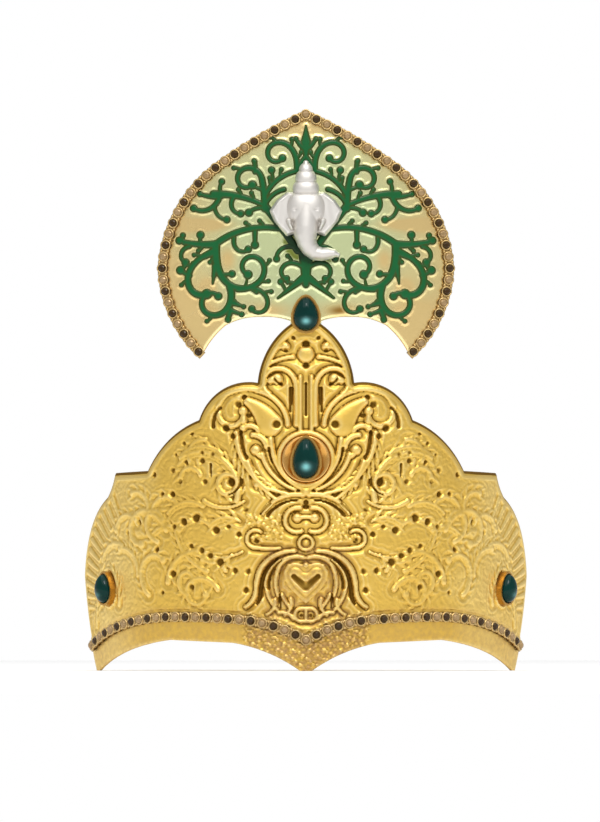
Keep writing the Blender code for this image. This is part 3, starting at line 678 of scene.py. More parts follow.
def new_group(name, inputs, outputs):
    """A node group with a colour socket where the default is None, and its two end nodes."""
    tree = bpy.data.node_groups.new(name, "ShaderNodeTree")
    for label, default in inputs.items():
        kind = "NodeSocketColor" if default is None else "NodeSocketFloat"
        socket = tree.interface.new_socket(label, in_out="INPUT", socket_type=kind)
        if default is not None:
            socket.default_value = default
    for label in outputs:
        kind = "NodeSocketColor" if label == "Color" else "NodeSocketFloat"
        tree.interface.new_socket(label, in_out="OUTPUT", socket_type=kind)
    return tree, tree.nodes.new("NodeGroupInput").outputs, tree.nodes.new("NodeGroupOutput")


def build_gilding():
    """A node group: polished metal, paler on its raised tops where it is worn bright, and browner in
    its hollows. The brown is partly patina and partly painted shade; marks can darken or pale it
    further.
    """
    inputs = {
        "Hollow": 0.0, "Bright": None, "Middle": None, "Deep": None, "Depth": 4.0, "Polish": 0.25,
        "Cloud size": 60.0,
    }
    tree, given, result = new_group("Gilding", inputs, ("Color", "Roughness", "Height"))
    cloud = noise(tree, given["Cloud size"], 5.0)
    strength = calculate(tree, "MULTIPLY", given["Hollow"], given["Depth"])
    lowness = calculate(tree, "MULTIPLY_ADD", cloud, 0.5, strength)
    darkened = ranged(tree, lowness, *DARKENED_BETWEEN)
    lightened = ranged(tree, lowness, *LIGHTENED_BETWEEN)
    clean = mixed(tree, lightened, given["Middle"], given["Bright"])
    cloudy = calculate(tree, "MULTIPLY_ADD", cloud, 0.18, given["Polish"])
    feed(tree, result, {
        "Color": mixed(tree, darkened, clean, given["Deep"]),
        "Roughness": calculate(tree, "MULTIPLY_ADD", darkened, 0.22, cloudy),
        "Height": noise(tree, GRAIN_SCALE, 3.0),
    })
    return tree


def build_chasing():
    """A node group: the small rounded dents of a chasing punch, where the sheet was worked."""
    tree, given, result = new_group("Chasing", {"Worked": 0.0, "Dents": 800.0}, ("Height",))
    where = object_place(tree)
    stray = add_node(tree, "TexNoise", {"Vector": where, "Scale": 240.0}).outputs["Color"]
    inputs = {"Vector": mixed(tree, 0.003, where, stray, "VECTOR"), "Scale": given["Dents"]}
    dents = add_node(tree, "TexVoronoi", inputs, feature="SMOOTH_F1").outputs["Distance"]
    feed(tree, result, {"Height": calculate(tree, "MULTIPLY", dents, given["Worked"])})
    return tree


DARKENED_BETWEEN = (0.32, 0.95)
LIGHTENED_BETWEEN = (0.22, -0.25)
GRAIN_SCALE = 1900.0
gilding = build_gilding()
chasing = build_chasing()


def new_material(name):
    material = bpy.data.materials.new(name)
    material.use_nodes = True
    return material, material.node_tree, material.node_tree.nodes["Principled BSDF"]


def metal(name, bright, middle, deep, depth, polish, grain, cloud=60.0, dent=0.0):
    """A metal finished with the gilding group, its grain and dents as bumps of those depths."""
    material, tree, shader = new_material(name)
    # The painted shade and sheen mark adds to the depth of the hollows, darkening or paling the
    # colour the same way.
    inputs = {
        "Hollow": calculate(tree, "ADD", mark_value(tree, "Hollow"), mark_value(tree, "Painted shade and sheen")),
        "Bright": (*bright, 1), "Middle": (*middle, 1), "Deep": (*deep, 1),
        "Depth": depth, "Polish": polish, "Cloud size": cloud,
    }
    finish = add_node(tree, "Group", node_tree=gilding)
    feed(tree, finish, inputs)
    surface = add_node(tree, "Bump", {"Distance": grain, "Height": finish.outputs["Height"]})
    if dent:
        punched = add_node(tree, "Group", node_tree=chasing)
        feed(tree, punched, {"Worked": mark_value(tree, "Chased")})
        inputs = {"Distance": dent, "Height": punched.outputs[0], "Normal": surface.outputs[0]}
        surface = add_node(tree, "Bump", inputs)
    feed(tree, shader, {
        "Base Color": finish.outputs["Color"], "Metallic": 1.0,
        "Roughness": finish.outputs["Roughness"], "Normal": surface.outputs[0],
    })
    return material


embossed_gold = metal(
    "Embossed gold", (0.92, 0.69, 0.25), (0.79, 0.52, 0.105), (0.19, 0.10, 0.012),
    depth=2.0, polish=0.37, grain=0.00003, dent=0.0002,
)


# Strengths of the painted shade in the grooves, the pits and under the stone row, and of the painted
# sheen that pales the two ends.
GROOVE_SHADE = 0.16
PIT_SHADE = 0.22
UNDER_ROW_SHADE = 0.06
END_SHEEN = 0.18
WORN_HEART = 0.55
WORN_POINT = 0.85
WORN_ROW = 0.35


def tiara_shade_and_sheen(points):
    """Painted shade, dark in the punched hollows and grooves, along the trimmed edge where it rolls
    back, and under the row of stones near the lower point.

    The two ends are painted paler, a painted sheen where the sheet turns away.
    """
    above = above_stones(points)
    dark = GROOVE_SHADE * round_strokes(points, tiara_grooves, 1.0)
    dark += PIT_SHADE * hollows(points, TIARA_PITS)
    edge = soft_step(0.95, 0.5, -tiara_distance(points)) * soft_step(2.0, 4.0, above)
    near_point = soft_step(BEAD_HALF_SPAN, BEAD_HALF_SPAN - 2, np.abs(points[:, 0]))
    under_row = soft_step(-1.0, -1.4, above) * near_point
    lightened = END_SHEEN * soft_step(34.0, 62.0, np.abs(points[:, 0]))
    return dark * tiara_field(points) + edge + UNDER_ROW_SHADE * under_row - lightened * (edge < 0.1)


def tiara_chased(points):
    """Where the punch has dented the sheet, less so in the middle, which stands higher."""
    from_dish = np.hypot(points[:, 0] - DISH_CENTRE[0], points[:, 1] - DISH_CENTRE[1])
    outward = soft_step(12.0, 20.0, np.abs(points[:, 0]))
    return tiara_field(points) * (from_dish > DISH_RADIUS) * (0.25 + 0.75 * outward)


def tiara_worn(points):
    """Where hands and cloths have worn the gilding thin: about the heart and at the lower point."""
    across = np.abs(points[:, 0])
    above = above_stones(points)
    heart = soft_step(14.5, 9.0, across) * soft_step(37.0, 31.0, points[:, 1])
    point = soft_step(BEAD_HALF_SPAN, BEAD_HALF_SPAN - 3, across) * soft_step(3.0, 1.0, above)
    row = soft_step(3.4, 2.0, above)
    found = np.maximum(np.maximum(WORN_HEART * heart, WORN_POINT * point), WORN_ROW * row)
    return found * soft_step(0.14, 0.07, tiara_shade_and_sheen(points))


def lay_over(material, share, colour):
    """Lays a colour over the material's own, as much as the share says."""
    tree = material.node_tree
    shader = tree.nodes["Principled BSDF"]
    below = shader.inputs["Base Color"].links[0].from_socket
    feed(tree, shader, {"Base Color": mixed(tree, share, below, colour)})


def wear_through(material):
    """Mixes in the reddish brass where the Worn mark and a cloudy noise say the gilding is gone."""
    tree = material.node_tree
    patchy = ranged(tree, noise(tree, 800.0, 4.0), 0.34, 0.66)
    lay_over(material, calculate(tree, "MULTIPLY", mark_value(tree, "Worn"), patchy), BARE_BRASS)


BARE_BRASS = (0.46, 0.27, 0.12, 1)
wear_through(embossed_gold)
tiara_bm = cut_sheet(TIARA_SIZE, (0.0, TIARA_SIZE[1] / 2 - 1), TIARA_CELL, tiara_distance)
thicken(tiara_bm, tiara_relief, lambda p: BACK_SHARE * tiara_relief(p) - TIARA_SHEET)
tiara = make_piece(
    "embossed_tiara", tiara_bm, embossed_gold, bend_tiara, kept=TIARA_KEPT,
    marks={"Painted shade and sheen": tiara_shade_and_sheen, "Chased": tiara_chased, "Worn": tiara_worn},
)
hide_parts("tiara")

# Fan plate
# A leaf-shaped plate, polished and gilt paler than the tiara. Its lower edge is cut away in two
# arches, and a tongue at its middle goes down behind the tiara's peak.
FAN_RADIUS_ACROSS = 120.0
FAN_RADIUS_UP = 260.0
FAN_MIDDLE = 112.0
FAN_BEHIND = 1.3
FAN_FRONT_Y = ARC_CENTRE_Y - TIARA_RADIUS + FAN_BEHIND
FAN_SHEET = 0.8
FAN_CELL = 0.33
FAN_SIZE = (80.4, 67.2)
FAN_CENTRE = (0.0, 118.6)
CELL_RIM = 0.3
CELL_RIM_RISE = 0.13
ENAMEL_SPREAD = 0.16
FAN_EDGE = [
    Arc(0.0, 86.5, 0.0),
    Arc(4.0, 90.0, 1.2),
    Arc(4.2, 94.6, 0.0),
    Arc(12.0, 95.7, -0.4),
    Arc(21.8, 93.4, -0.7),
    Arc(28.2, 85.0, -0.6),
    Arc(39.4, 108.9, 2.6),
    Arc(23.1, 137.6, 3.8),
    Arc(0.0, 151.0, 0.6),
]
ENAMEL_SCROLLS = rows(Stroke, [
    (0.3, 106.5, -38, 9.2, 0, 0, 2.2, 0.5, 0),
    (5.4, 102.8, 60, 2.8, 0, 0, 0.8, 0.6, 0.8),
    (0.8, 109.2, 36, 10.0, -205, 0.7, 1.2, 0.9, 0.85),
    (1.0, 114.0, 22, 9.0, -120, 0.8, 1.1, 0.9, 0.85),
    (0.6, 117.2, 29, 25.2, -66, 0, 1.2, 1.7, 0),
    (24.5, 115.4, -91, 15.2, -88, 1.0, 2.2, 1.5, 0),
    (18.4, 103.3, 182, 22.5, -345, 0.7, 1.6, 1.0, 1.15),
    (13.8, 118.8, -90, 3.6, 0, 0, 1.2, 1.0, 1.0),
    (19.5, 116.9, -80, 6.5, -150, 0.4, 1.1, 0.8, 0.9),
    (24.6, 115.4, -2, 9.8, 22, 0.6, 2.0, 1.0, 1.0),
    (28.8, 115.4, 95, 2.6, 0, 0, 0.8, 0.8, 1.0),
    (33.0, 115.8, 60, 2.2, 40, 0, 1.0, 0.6, 0.7),
    (31.6, 114.9, -10, 6.0, -150, 0.3, 1.1, 0.8, 1.0),
    (25.0, 113.2, -25, 6.4, 0, 0, 1.6, 0.6, 0),
    (25.4, 113.6, -28, 18.4, -178, 0.95, 1.3, 1.8, 1.3),
    (31.4, 107.0, 15, 3.0, 30, 0, 1.1, 0.8, 1.1),
    (23.4, 107.4, 190, 3.4, -20, 0, 0.9, 0.8, 0.9),
    (24.6, 109.5, -82, 4.8, 0, 0, 1.6, 0.3, 0),
    (20.6, 104.0, -108, 22.0, 338, 0.6, 1.9, 1.0, 1.0),
    (19.6, 99.5, 200, 2.9, 0, 0, 1.4, 0.5, 0.6),
    (20.4, 97.5, -75, 2.6, 0, 0, 1.6, 0.8, 0.8),
    (20.4, 97.5, 200, 3.2, 0, 0, 1.2, 0.7, 0.7),
    (18.0, 103.6, 176, 16.0, 245, 0.95, 1.2, 0.9, 0.9),
    (16.4, 103.6, 100, 2.4, 0, 0, 0.9, 0.3, 0),
    (11.1, 125.7, 231, 15.0, 6, 0, 2.0, 1.6, 0),
    (11.1, 125.0, 90, 8.4, -12, 0, 1.8, 1.5, 0),
    (11.9, 133.0, 78, 15.5, -305, 0.35, 1.5, 1.0, 1.1),
    (13.8, 135.0, 85, 3.0, 0, 0, 1.2, 0.7, 0.6),
    (11.1, 128.5, 115, 11.5, 55, 0, 1.3, 1.2, 0),
    (8.8, 132.6, 80, 2.9, 0, 0, 0.7, 0.7, 0.9),
    (2.4, 135.4, 92, 20.6, -330, 0.85, 1.5, 1.0, 0.95),
    (0.4, 141.2, 40, 3.6, 20, 0, 1.3, 0.8, 0.6),
    (0.0, 139.2, -55, 4.6, 0, 0, 1.2, 1.2, 0),
    (11.1, 125.8, 28, 14.5, -30, 0, 1.1, 1.9, 0),
    (23.4, 128.4, -5, 5.4, 25, 0, 1.6, 0.8, 0.7),
    (22.8, 128.4, 60, 4.2, 60, 0, 1.1, 0.7, 0.8),
    (23.4, 128.2, -72, 8.8, 106, 0.2, 1.4, 1.0, 0.9),
    (24.8, 125.7, -95, 5.4, -85, 0.3, 0.9, 0.8, 0.9),
    (19.4, 128.4, -50, 6.4, -135, 0.3, 1.2, 0.8, 0.9),
    (11.0, 125.2, 8, 4.8, -55, 0.4, 1.0, 0.9, 1.0),
    (10.7, 126.6, 118, 6.2, 50, 0, 1.0, 1.2, 0.6),
    (11.5, 130.0, 22, 3.0, 0, 0, 1.0, 0.7, 0.7),
])
ENAMEL_MIDDLE = rows(Stroke, [
    (0.0, 104.5, 90, 12.0, 0, 0, 1.8, 4.6, 0),
    (0.0, 138.5, 90, 4.5, 0, 0, 0.8, 2.6, 0),
    (0.0, 143.0, 90, 4.6, 0, 0, 2.6, 0.2, 0),
])
THORN_FROM = 3.2
THORN_SHARE = 0.62
THORN_PITCH = 3.9
THORN_LENGTH = 2.2
THORN_TURN = 82
THORN_BEND = -55
THORN_WIDTHS = (0.8, 0.6)
THORN_BUD = 0.55
fan_outline = closed_outline(FAN_EDGE)


def thorns(strokes):
    """Small curled thorns on the outer side of each long stroke of enamel."""
    found = []
    for stroke in strokes:
        line = stroke_line(stroke)
        side = -1 if stroke.bend > 0 else 1
        step = stroke.length / (len(line) - 1)
        for at in np.arange(THORN_FROM, THORN_SHARE * stroke.length, THORN_PITCH):
            i = round(at / step)
            turned = heading_into(line, i) + side * THORN_TURN
            found.append(
                Stroke(*line[i], turned, THORN_LENGTH, side * THORN_BEND, 0, *THORN_WIDTHS, THORN_BUD)
            )
    return found


enamel_thorns = thorns([s for s in ENAMEL_SCROLLS if s.length > 9])
enamel_strokes = mirrored(ENAMEL_SCROLLS + enamel_thorns) + ENAMEL_MIDDLE


def enamel_distance(points):
    return stroke_edges(points, enamel_strokes, 3.0)[0] - ENAMEL_SPREAD


def fan_distance(points):
    return outline_distance(points, fan_outline)


def fan_relief(points):
    """A low bright rim round each cell of enamel, and an edge that is rolled back a little."""
    rim = CELL_RIM_RISE * bump(enamel_distance(points) - CELL_RIM / 2, CELL_RIM)
    inward = -fan_distance(points)
    return rim - 0.5 * np.clip(0.8 - inward, 0, 0.8) ** 2


def bend_fan(points):
    """From the flat plate's millimetres to its place in metres: a shallow shield."""
    u, v, h = points.T
    rise = np.clip(v - FAN_MIDDLE, 0, None)
    back = u * u / (2 * FAN_RADIUS_ACROSS) + rise * rise / (2 * FAN_RADIUS_UP)
    return np.stack([u, FAN_FRONT_Y + back - h, v], 1) * MM


def paint_plate_reflection(material):
    """The plate's pale gilding under a painted reflection, which is greener in the middle and warms
    to orange at its border and points.
    """
    tree = material.node_tree
    finish = next(n for n in tree.nodes if n.type == "GROUP")
    inputs = {0: object_place(tree), 1: PLATE_MIDDLE}
    apart = add_node(tree, "VectorMath", inputs, operation="DISTANCE").outputs["Value"]
    uneven = calculate(tree, "MULTIPLY_ADD", noise(tree, 55.0), 0.018, apart)
    inputs = {0: ranged(tree, uneven, 0.026, 0.050), 1: mark_value(tree, "Warm reflection")}
    warm = add_node(tree, "Math", inputs, use_clamp=True).outputs[0]
    for socket, (middle, outside) in PLATE_REFLECTION_TINTS.items():
        feed(tree, finish, {socket: mixed(tree, warm, (*middle, 1), (*outside, 1))})


PLATE_MIDDLE = (0.0, -0.018, 0.118)
PLATE_REFLECTION_TINTS = {
    "Bright": ((0.90, 0.98, 0.64), (1.0, 0.86, 0.46)),
    "Middle": ((0.85, 0.93, 0.50), (1.0, 0.74, 0.32)),
    "Deep": ((0.20, 0.24, 0.05), (0.34, 0.18, 0.04)),
}
Patch = namedtuple("Patch", "u v half_width half_height strength")
# Patches where the painted reflection turns orange, the same on both sides.
WARM_REFLECTION_PATCHES = [
    Patch(0.0, 147.5, 7.0, 3.0, 0.9),
    Patch(27.0, 120.7, 8.0, 1.7, 1.0),
    Patch(21.0, 111.2, 2.2, 3.2, 0.8),
    Patch(26.5, 103.8, 2.2, 2.4, 0.8),
    Patch(27.8, 92.0, 6.0, 6.5, 1.0),
    Patch(9.0, 97.4, 6.0, 2.2, 0.7),
]
# A painted shade low on the plate's right, beside the peak stone.
BROWN_SHADE_PATCH = Patch(8.8, 97.4, 3.4, 1.6, 0.30)
# Painted shadow: soft patches round and below the elephant casting.
CASTING_SHADE = [
    Patch(-0.9, 123.0, 9.2, 6.0, 0.22),
    Patch(-2.0, 116.4, 4.0, 5.4, 0.32),
    Patch(3.4, 111.8, 5.0, 1.9, 0.22),
]


def patch_share(points, patch):
    across = (points[:, 0] - patch.u) / patch.half_width
    up = (points[:, 1] - patch.v) / patch.half_height
    return np.hypot(across, up)


def plate_warm_reflection(points):
    """Where the plate's painted reflection is more orange."""
    both = folded(points)
    return np.max([p.strength * hump(patch_share(both, p), 0, 1) for p in WARM_REFLECTION_PATCHES], 0)


def casting_shadow(points):
    """Painted shadow round and below the foot of the casting riveted on here."""
    found = [p.strength * soft_step(1.25, 0.85, patch_share(points, p)) for p in CASTING_SHADE]
    return np.max(found, 0)


# All of the plate's painted shade: the casting's shadow and the brown patch.
def plate_painted_shade(points):
    brown = BROWN_SHADE_PATCH.strength * hump(patch_share(points, BROWN_SHADE_PATCH), 0, 1)
    return casting_shadow(points) + brown


pale_gold = metal(
    "Pale gold", (1.0, 0.90, 0.56), (0.96, 0.80, 0.42), (0.62, 0.40, 0.12),
    depth=2.4, polish=0.16, grain=0.00001, cloud=28.0,
)
paint_plate_reflection(pale_gold)
fan_bm = cut_sheet(FAN_SIZE, FAN_CENTRE, FAN_CELL, fan_distance)
thicken(fan_bm, fan_relief, lambda p: np.full(len(p), -FAN_SHEET))
fan = make_piece(
    "leaf_plate", fan_bm, pale_gold, bend_fan,
    marks={"Warm reflection": plate_warm_reflection, "Painted shade and sheen": plate_painted_shade}, marked_above=-FAN_SHEET / 2,
)
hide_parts("fan_plate")

# Scroll enamel
# Green enamel, laid in the scrollwork's cells and fired: glossy, domed where a cell is wide, and
# thinner and olive where it meets the gold, darker there too as a painted shade. Near the casting
# it carries a painted shadow.
ENAMEL_CELL = 0.22
ENAMEL_SIZE = (71.0, 55.0)
ENAMEL_CENTRE = (0.0, 121.0)
ENAMEL_EDGE = 0.3
ENAMEL_DOME = 0.3
DOME_HALF = 0.9
ENAMEL_FOOT = 0.02
GREEN = (0.004, 0.125, 0.036, 1)
DEEP_GREEN = (0.008, 0.085, 0.018, 1)
# The olive of the thin enamel at a cell's rim, darker as a painted shade.
OLIVE = (0.036, 0.062, 0.006, 1)
# A painted shadow colour, laid on the enamel near the casting.
SHADOW_GREEN = (0.006, 0.022, 0.006, 1)


def enamel_relief(points):
    """The height of the enamel: an edge that stands up a little, and a dome over a wide cell."""
    inward = np.clip(-enamel_distance(points), 0, DOME_HALF) / DOME_HALF
    return ENAMEL_EDGE + ENAMEL_DOME * np.sqrt(inward * (2 - inward))


def build_enamel():
    material, tree, shader = new_material("Green enamel")
    cloud = noise(tree, 260.0, 4.0)
    green = mixed(tree, cloud, GREEN, DEEP_GREEN)
    olive = mixed(tree, ranged(tree, mark_value(tree, "Rim"), 0.1, 1.0), green, OLIVE)
    feed(tree, shader, {
        "Base Color": mixed(tree, mark_value(tree, "Casting shadow"), olive, SHADOW_GREEN),
        "Roughness": ranged(tree, cloud, 0.0, 1.0, 0.22, 0.42),
        "Specular IOR Level": 0.2, "Coat Weight": 0.08, "Coat Roughness": 0.08,
    })
    return material


def enamel_rim(points):
    """1 at the rim of a cell, where the enamel is thin, falling to 0 further in. The darker olive
    laid there is partly the thin enamel's own colour and partly painted shade.
    """
    return soft_step(-0.75, -0.1, enamel_distance(points))


def enamel_casting_shadow(points):
    """The casting's painted shadow, laid darker on the enamel than on the gold."""
    return np.clip(3.0 * casting_shadow(points), 0, 0.9)


green_enamel = build_enamel()
enamel_bm = cut_sheet(ENAMEL_SIZE, ENAMEL_CENTRE, ENAMEL_CELL, enamel_distance)
thicken(enamel_bm, enamel_relief, lambda p: np.full(len(p), ENAMEL_FOOT))
enamel = make_piece(
    "scrollwork", enamel_bm, green_enamel, bend_fan,
    marks={"Rim": enamel_rim, "Casting shadow": enamel_casting_shadow},
)
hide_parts("scroll_enamel")

# Elephant head
# A small silver casting, flat behind, riveted on over the enamel: a tall headdress, wide ears,
# short tusks and a trunk that swings to one side. It stands clear of the plate and shades it.
HEAD_CELL = 0.16
HEAD_SIZE = (21.0, 31.0)
HEAD_CENTRE = (0.0, 124.6)
HEAD_LIFT = 1.1
HEAD_BASE = 0.5
TRUNK_POINTS = [
    (0.0, 126.0), (0.0, 122.4), (-0.1, 120.0), (-0.1, 118.0), (0.2, 116.0), (1.0, 114.3),
    (2.4, 113.0), (4.2, 112.6), (6.0, 112.8), (7.6, 112.8), (8.6, 112.5),
]
TRUNK_HALF = [3.4, 3.5, 3.5, 3.2, 2.7, 2.4, 2.1, 1.85, 1.65, 1.25, 0.7]
TRUNK_RISE = [3.4, 3.8, 4.0, 3.9, 3.6, 3.3, 3.0, 2.8, 2.6, 2.3, 1.7]
Lump = namedtuple("Lump", "u v half_width half_height rise power")
HEAD_LUMPS = [
    Lump(0.0, 125.0, 5.2, 5.2, 3.4, 2.4),
    Lump(0.0, 130.4, 3.6, 2.7, 3.2, 2.2),
    Lump(0.0, 133.0, 2.9, 2.9, 3.0, 2.0),
    Lump(0.0, 135.4, 1.9, 2.1, 2.6, 2.0),
    Lump(0.0, 137.2, 0.8, 0.9, 1.8, 2.0),
]
EAR = [(3.0, 129.0), (4.8, 128.9), (7.6, 126.8), (9.3, 124.3), (8.2, 121.8), (6.4, 119.6),
       (5.0, 118.0), (3.4, 118.6), (3.0, 124.0)]
EAR_RISE = 1.5
EAR_ROUNDING = 0.5
TUSK = Stroke(4.6, 121.6, -100, 2.4, -20, 0, 1.5, 0.7, 0)
TUSK_RISE = 2.9
EYE = (2.9, 124.6)
EYE_DEPTH = 0.3
EYE_HALF = 0.6
Waist = namedtuple("Waist", "v half_height depth reach")
HEAD_WAISTS = [Waist(128.9, 0.35, 0.15, 4.4), Waist(132.2, 0.3, 0.10, 3.4)]
HEAD_LEAST = 0.3


def spread_line(points, values):
    """A smooth line through a few points, with a value carried along it."""
    points, values = np.array(points, float), np.array(values, float)
    knots = np.arange(len(points))
    fine = np.linspace(0, len(points) - 1, 8 * len(points))
    line = np.stack([np.interp(fine, knots, points[:, i]) for i in (0, 1)], 1)
    return line, np.interp(fine, knots, values)


trunk_line, trunk_half = spread_line(TRUNK_POINTS, TRUNK_HALF)
_, trunk_rise = spread_line(TRUNK_POINTS, TRUNK_RISE)
trunk_reach = lengths_along(trunk_line)
ear_outline = np.array(EAR, float)


def tusk_half(along):
    """The tusk's half width, which tapers to its tip."""
    return (TUSK.width_in - (TUSK.width_in - TUSK.width_out) * along / TUSK.length) / 2


def lump_share(points, lump):
    across = np.abs(points[:, 0] - lump.u) / lump.half_width
    up = np.abs(points[:, 1] - lump.v) / lump.half_height
    return (across**lump.power + up**lump.power) ** (1 / lump.power)


def head_distance(points):
    """The distance beyond the outline of the head."""
    both = folded(points)
    found = outline_distance(both, ear_outline) - EAR_ROUNDING
    for lump in HEAD_LUMPS:
        size = min(lump.half_width, lump.half_height)
        found = np.minimum(found, (lump_share(points, lump) - 1) * size)
    far, along = line_distance(points, trunk_line)
    found = np.minimum(found, far - np.interp(along, trunk_reach, trunk_half))
    far, along = line_distance(both, stroke_line(TUSK))
    return np.minimum(found, far - tusk_half(along))


def head_relief(points):
    """The height of the casting: ears, the lumps of the head and headdress, trunk and tusks."""
    both = folded(points)
    found = np.full(len(points), HEAD_BASE)
    inside_ear = -outline_distance(both, ear_outline) + EAR_ROUNDING
    fold = 0.16 * np.sin(1.7 * (both[:, 0] - 3.0) + 0.25 * (both[:, 1] - 124.0))
    ear = HEAD_BASE + EAR_RISE * soft_step(-0.2, 0.9, inside_ear) * (0.75 + fold * 0.6)
    ear += 0.16 * bump(inside_ear - 0.5, 0.45)
    found = np.maximum(found, np.where(inside_ear > -0.3, ear, HEAD_BASE))
    for lump in HEAD_LUMPS:
        share = np.clip(lump_share(points, lump), 0, 1)
        found = np.maximum(found, HEAD_BASE + lump.rise * np.sqrt(1 - share**2.4))
    far, along = line_distance(points, trunk_line)
    half = np.interp(along, trunk_reach, trunk_half)
    rise = np.interp(along, trunk_reach, trunk_rise)
    found = np.maximum(found, HEAD_BASE + rise * bump(far, half))
    far, along = line_distance(both, stroke_line(TUSK))
    half = tusk_half(along)
    found = np.maximum(found, HEAD_BASE + TUSK_RISE * bump(far, half) * (far < half))
    from_eye = np.hypot(both[:, 0] - EYE[0], (both[:, 1] - EYE[1]) * 1.5)
    found -= EYE_DEPTH * hump(from_eye, 0, EYE_HALF)
    waist = sum(
        w.depth * hump(points[:, 1], w.v, w.half_height) * (both[:, 0] < w.reach) for w in HEAD_WAISTS
    )
    return np.maximum(found - waist, HEAD_LEAST)


silver = metal(
    "Silver", (0.84, 0.83, 0.79), (0.72, 0.69, 0.65), (0.36, 0.33, 0.29),
    depth=1.2, polish=0.46, grain=0.00002, cloud=120.0,
)
head_bm = cut_sheet(HEAD_SIZE, HEAD_CENTRE, HEAD_CELL, head_distance)
thicken(head_bm, head_relief, lambda p: np.zeros(len(p)))
head = make_piece(
    "elephant_casting", head_bm, silver, lambda p: bend_fan(p + (0, 0, HEAD_LIFT))
)
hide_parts("elephant_head")

# Stone borders
# Rows of small faceted stones, dark and pale by turns, each in a gilt cup on a narrow strip that
# follows the tiara's foot and the fan's outer edge. Two grains of gold stand between two cups.
TIARA_STONES = 49
FAN_STONES = 55
STRIP_CELL = 0.8
STRIP_KNOTS = 400
STRIP_WIDTH = 2.3
STRIP_BASE = 0.3
STRIP_TOP = 0.75
CUP_RADIUS = 1.42
CUP_WALL = 0.36
CUP_TOP = 1.25
CUP_SIDES = 14
STONE_GIRDLE = 1.08
STONE_TABLE = 0.62
STONE_CROWN = 0.7
STONE_FACETS = 8
STONE_STAR = 0.16
GRAIN_RADIUS = 0.5
GRAIN_ASIDE = 0.85
CHAIN_INSET = 0.35


def offset_line(line, distance):
    """The line moved to its left by a distance, with mitred corners."""
    ahead = np.diff(line, axis=0)
    ahead /= np.hypot(*ahead.T)[:, None]
    side = np.stack([-ahead[:, 1], ahead[:, 0]], 1)
    at_corner = np.concatenate([side[:1], side[1:] + side[:-1], side[-1:]])
    at_corner /= np.hypot(*at_corner.T)[:, None]
    spread = np.concatenate([[1.0], np.sum(at_corner[1:-1] * side[1:], 1), [1.0]])
    return line + at_corner * (distance / spread)[:, None]


def evenly_along(line, count, shift):
    """That many places along a line, the first one a share of a step in from its start."""
    reach = lengths_along(line)
    at = (np.arange(count) + shift) * reach[-1] / (count - 1 + 2 * shift)
    return np.stack([np.interp(at, reach, line[:, i]) for i in (0, 1)], 1)


def add_turned(bm, place_at, segments, profile):
    """Adds a round shape about an axis out of the sheet, from pairs of radius and height."""
    for (radius1, low), (radius2, high) in zip(profile, profile[1:]):
        bmesh.ops.create_cone(
            bm, cap_ends=False, segments=segments, radius1=radius1, radius2=radius2,
            depth=high - low, matrix=Matrix.Translation((*place_at, (low + high) / 2)),
        )


def build_strip(name, line, places, bend, cad_node):
    bm = bmesh.new()
    columns = round(lengths_along(line)[-1] / STRIP_CELL)
    bmesh.ops.create_grid(bm, x_segments=columns, y_segments=4, size=0.5)
    points = coordinates(bm.verts)
    fine = evenly_along(line, STRIP_KNOTS, 0.0)
    left = offset_line(fine, 1.0) - fine
    t = (points[:, 0] + 0.5) * (STRIP_KNOTS - 1)
    knots = np.arange(STRIP_KNOTS)
    middle = np.stack([np.interp(t, knots, fine[:, i]) for i in (0, 1)], 1)
    across = np.stack([np.interp(t, knots, left[:, i]) for i in (0, 1)], 1)
    points[:, :2] = middle + across * points[:, 1:2] * STRIP_WIDTH
    place(bm.verts, points)
    thicken(bm, lambda p: np.full(len(p), STRIP_TOP), lambda p: np.full(len(p), STRIP_BASE))
    bore = CUP_RADIUS - CUP_WALL
    cup = [
        (CUP_RADIUS, STRIP_BASE), (CUP_RADIUS, CUP_TOP), (bore, CUP_TOP + 0.01),
        (bore - 0.05, STRIP_BASE + 0.02), (CUP_RADIUS, STRIP_BASE),
    ]
    for spot in places:
        add_turned(bm, spot, CUP_SIDES, cup)
    for (u0, v0), (u1, v1) in zip(places, places[1:]):
        ahead = np.array([u1 - u0, v1 - v0]) / math.dist((u0, v0), (u1, v1))
        for side in (-GRAIN_ASIDE, GRAIN_ASIDE):
            spot = ((u0 + u1) / 2 - ahead[1] * side, (v0 + v1) / 2 + ahead[0] * side)
            bmesh.ops.create_icosphere(
                bm, subdivisions=1, radius=GRAIN_RADIUS,
                matrix=Matrix.Translation((*spot, STRIP_TOP)),
            )
    bmesh.ops.remove_doubles(bm, verts=bm.verts, dist=0.001)
    bmesh.ops.recalc_face_normals(bm, faces=bm.faces)
    piece = make_piece(name, bm, strip_gold, bend)
    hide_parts(cad_node)


def build_stones(name, places, bend, material):
    """Faceted stones: a table, a ring of crown facets turned by half a facet, and a girdle."""
    bm = bmesh.new()
    half_turn = Matrix.Rotation(math.pi / STONE_FACETS, 4, "Z")
    for u, v in places:
        middle = Matrix.Translation((u, v, CUP_TOP - 0.05 + STONE_CROWN / 2))
        stone = bmesh.ops.create_cone(
            bm, cap_ends=True, segments=STONE_FACETS, radius1=STONE_GIRDLE, radius2=STONE_TABLE,
            depth=STONE_CROWN, matrix=middle @ half_turn,
        )
        table = [f for f in {f for x in stone["verts"] for f in x.link_faces} if f.normal.z > 0.9]
        rim = [e for f in table for e in f.edges]
        bmesh.ops.bevel(
            bm, geom=rim, offset=STONE_STAR, segments=1, profile=0.5, affect="EDGES", material=-1,
        )
    bmesh.ops.recalc_face_normals(bm, faces=bm.faces)
    make_piece(name, bm, material, bend, smooth=False)


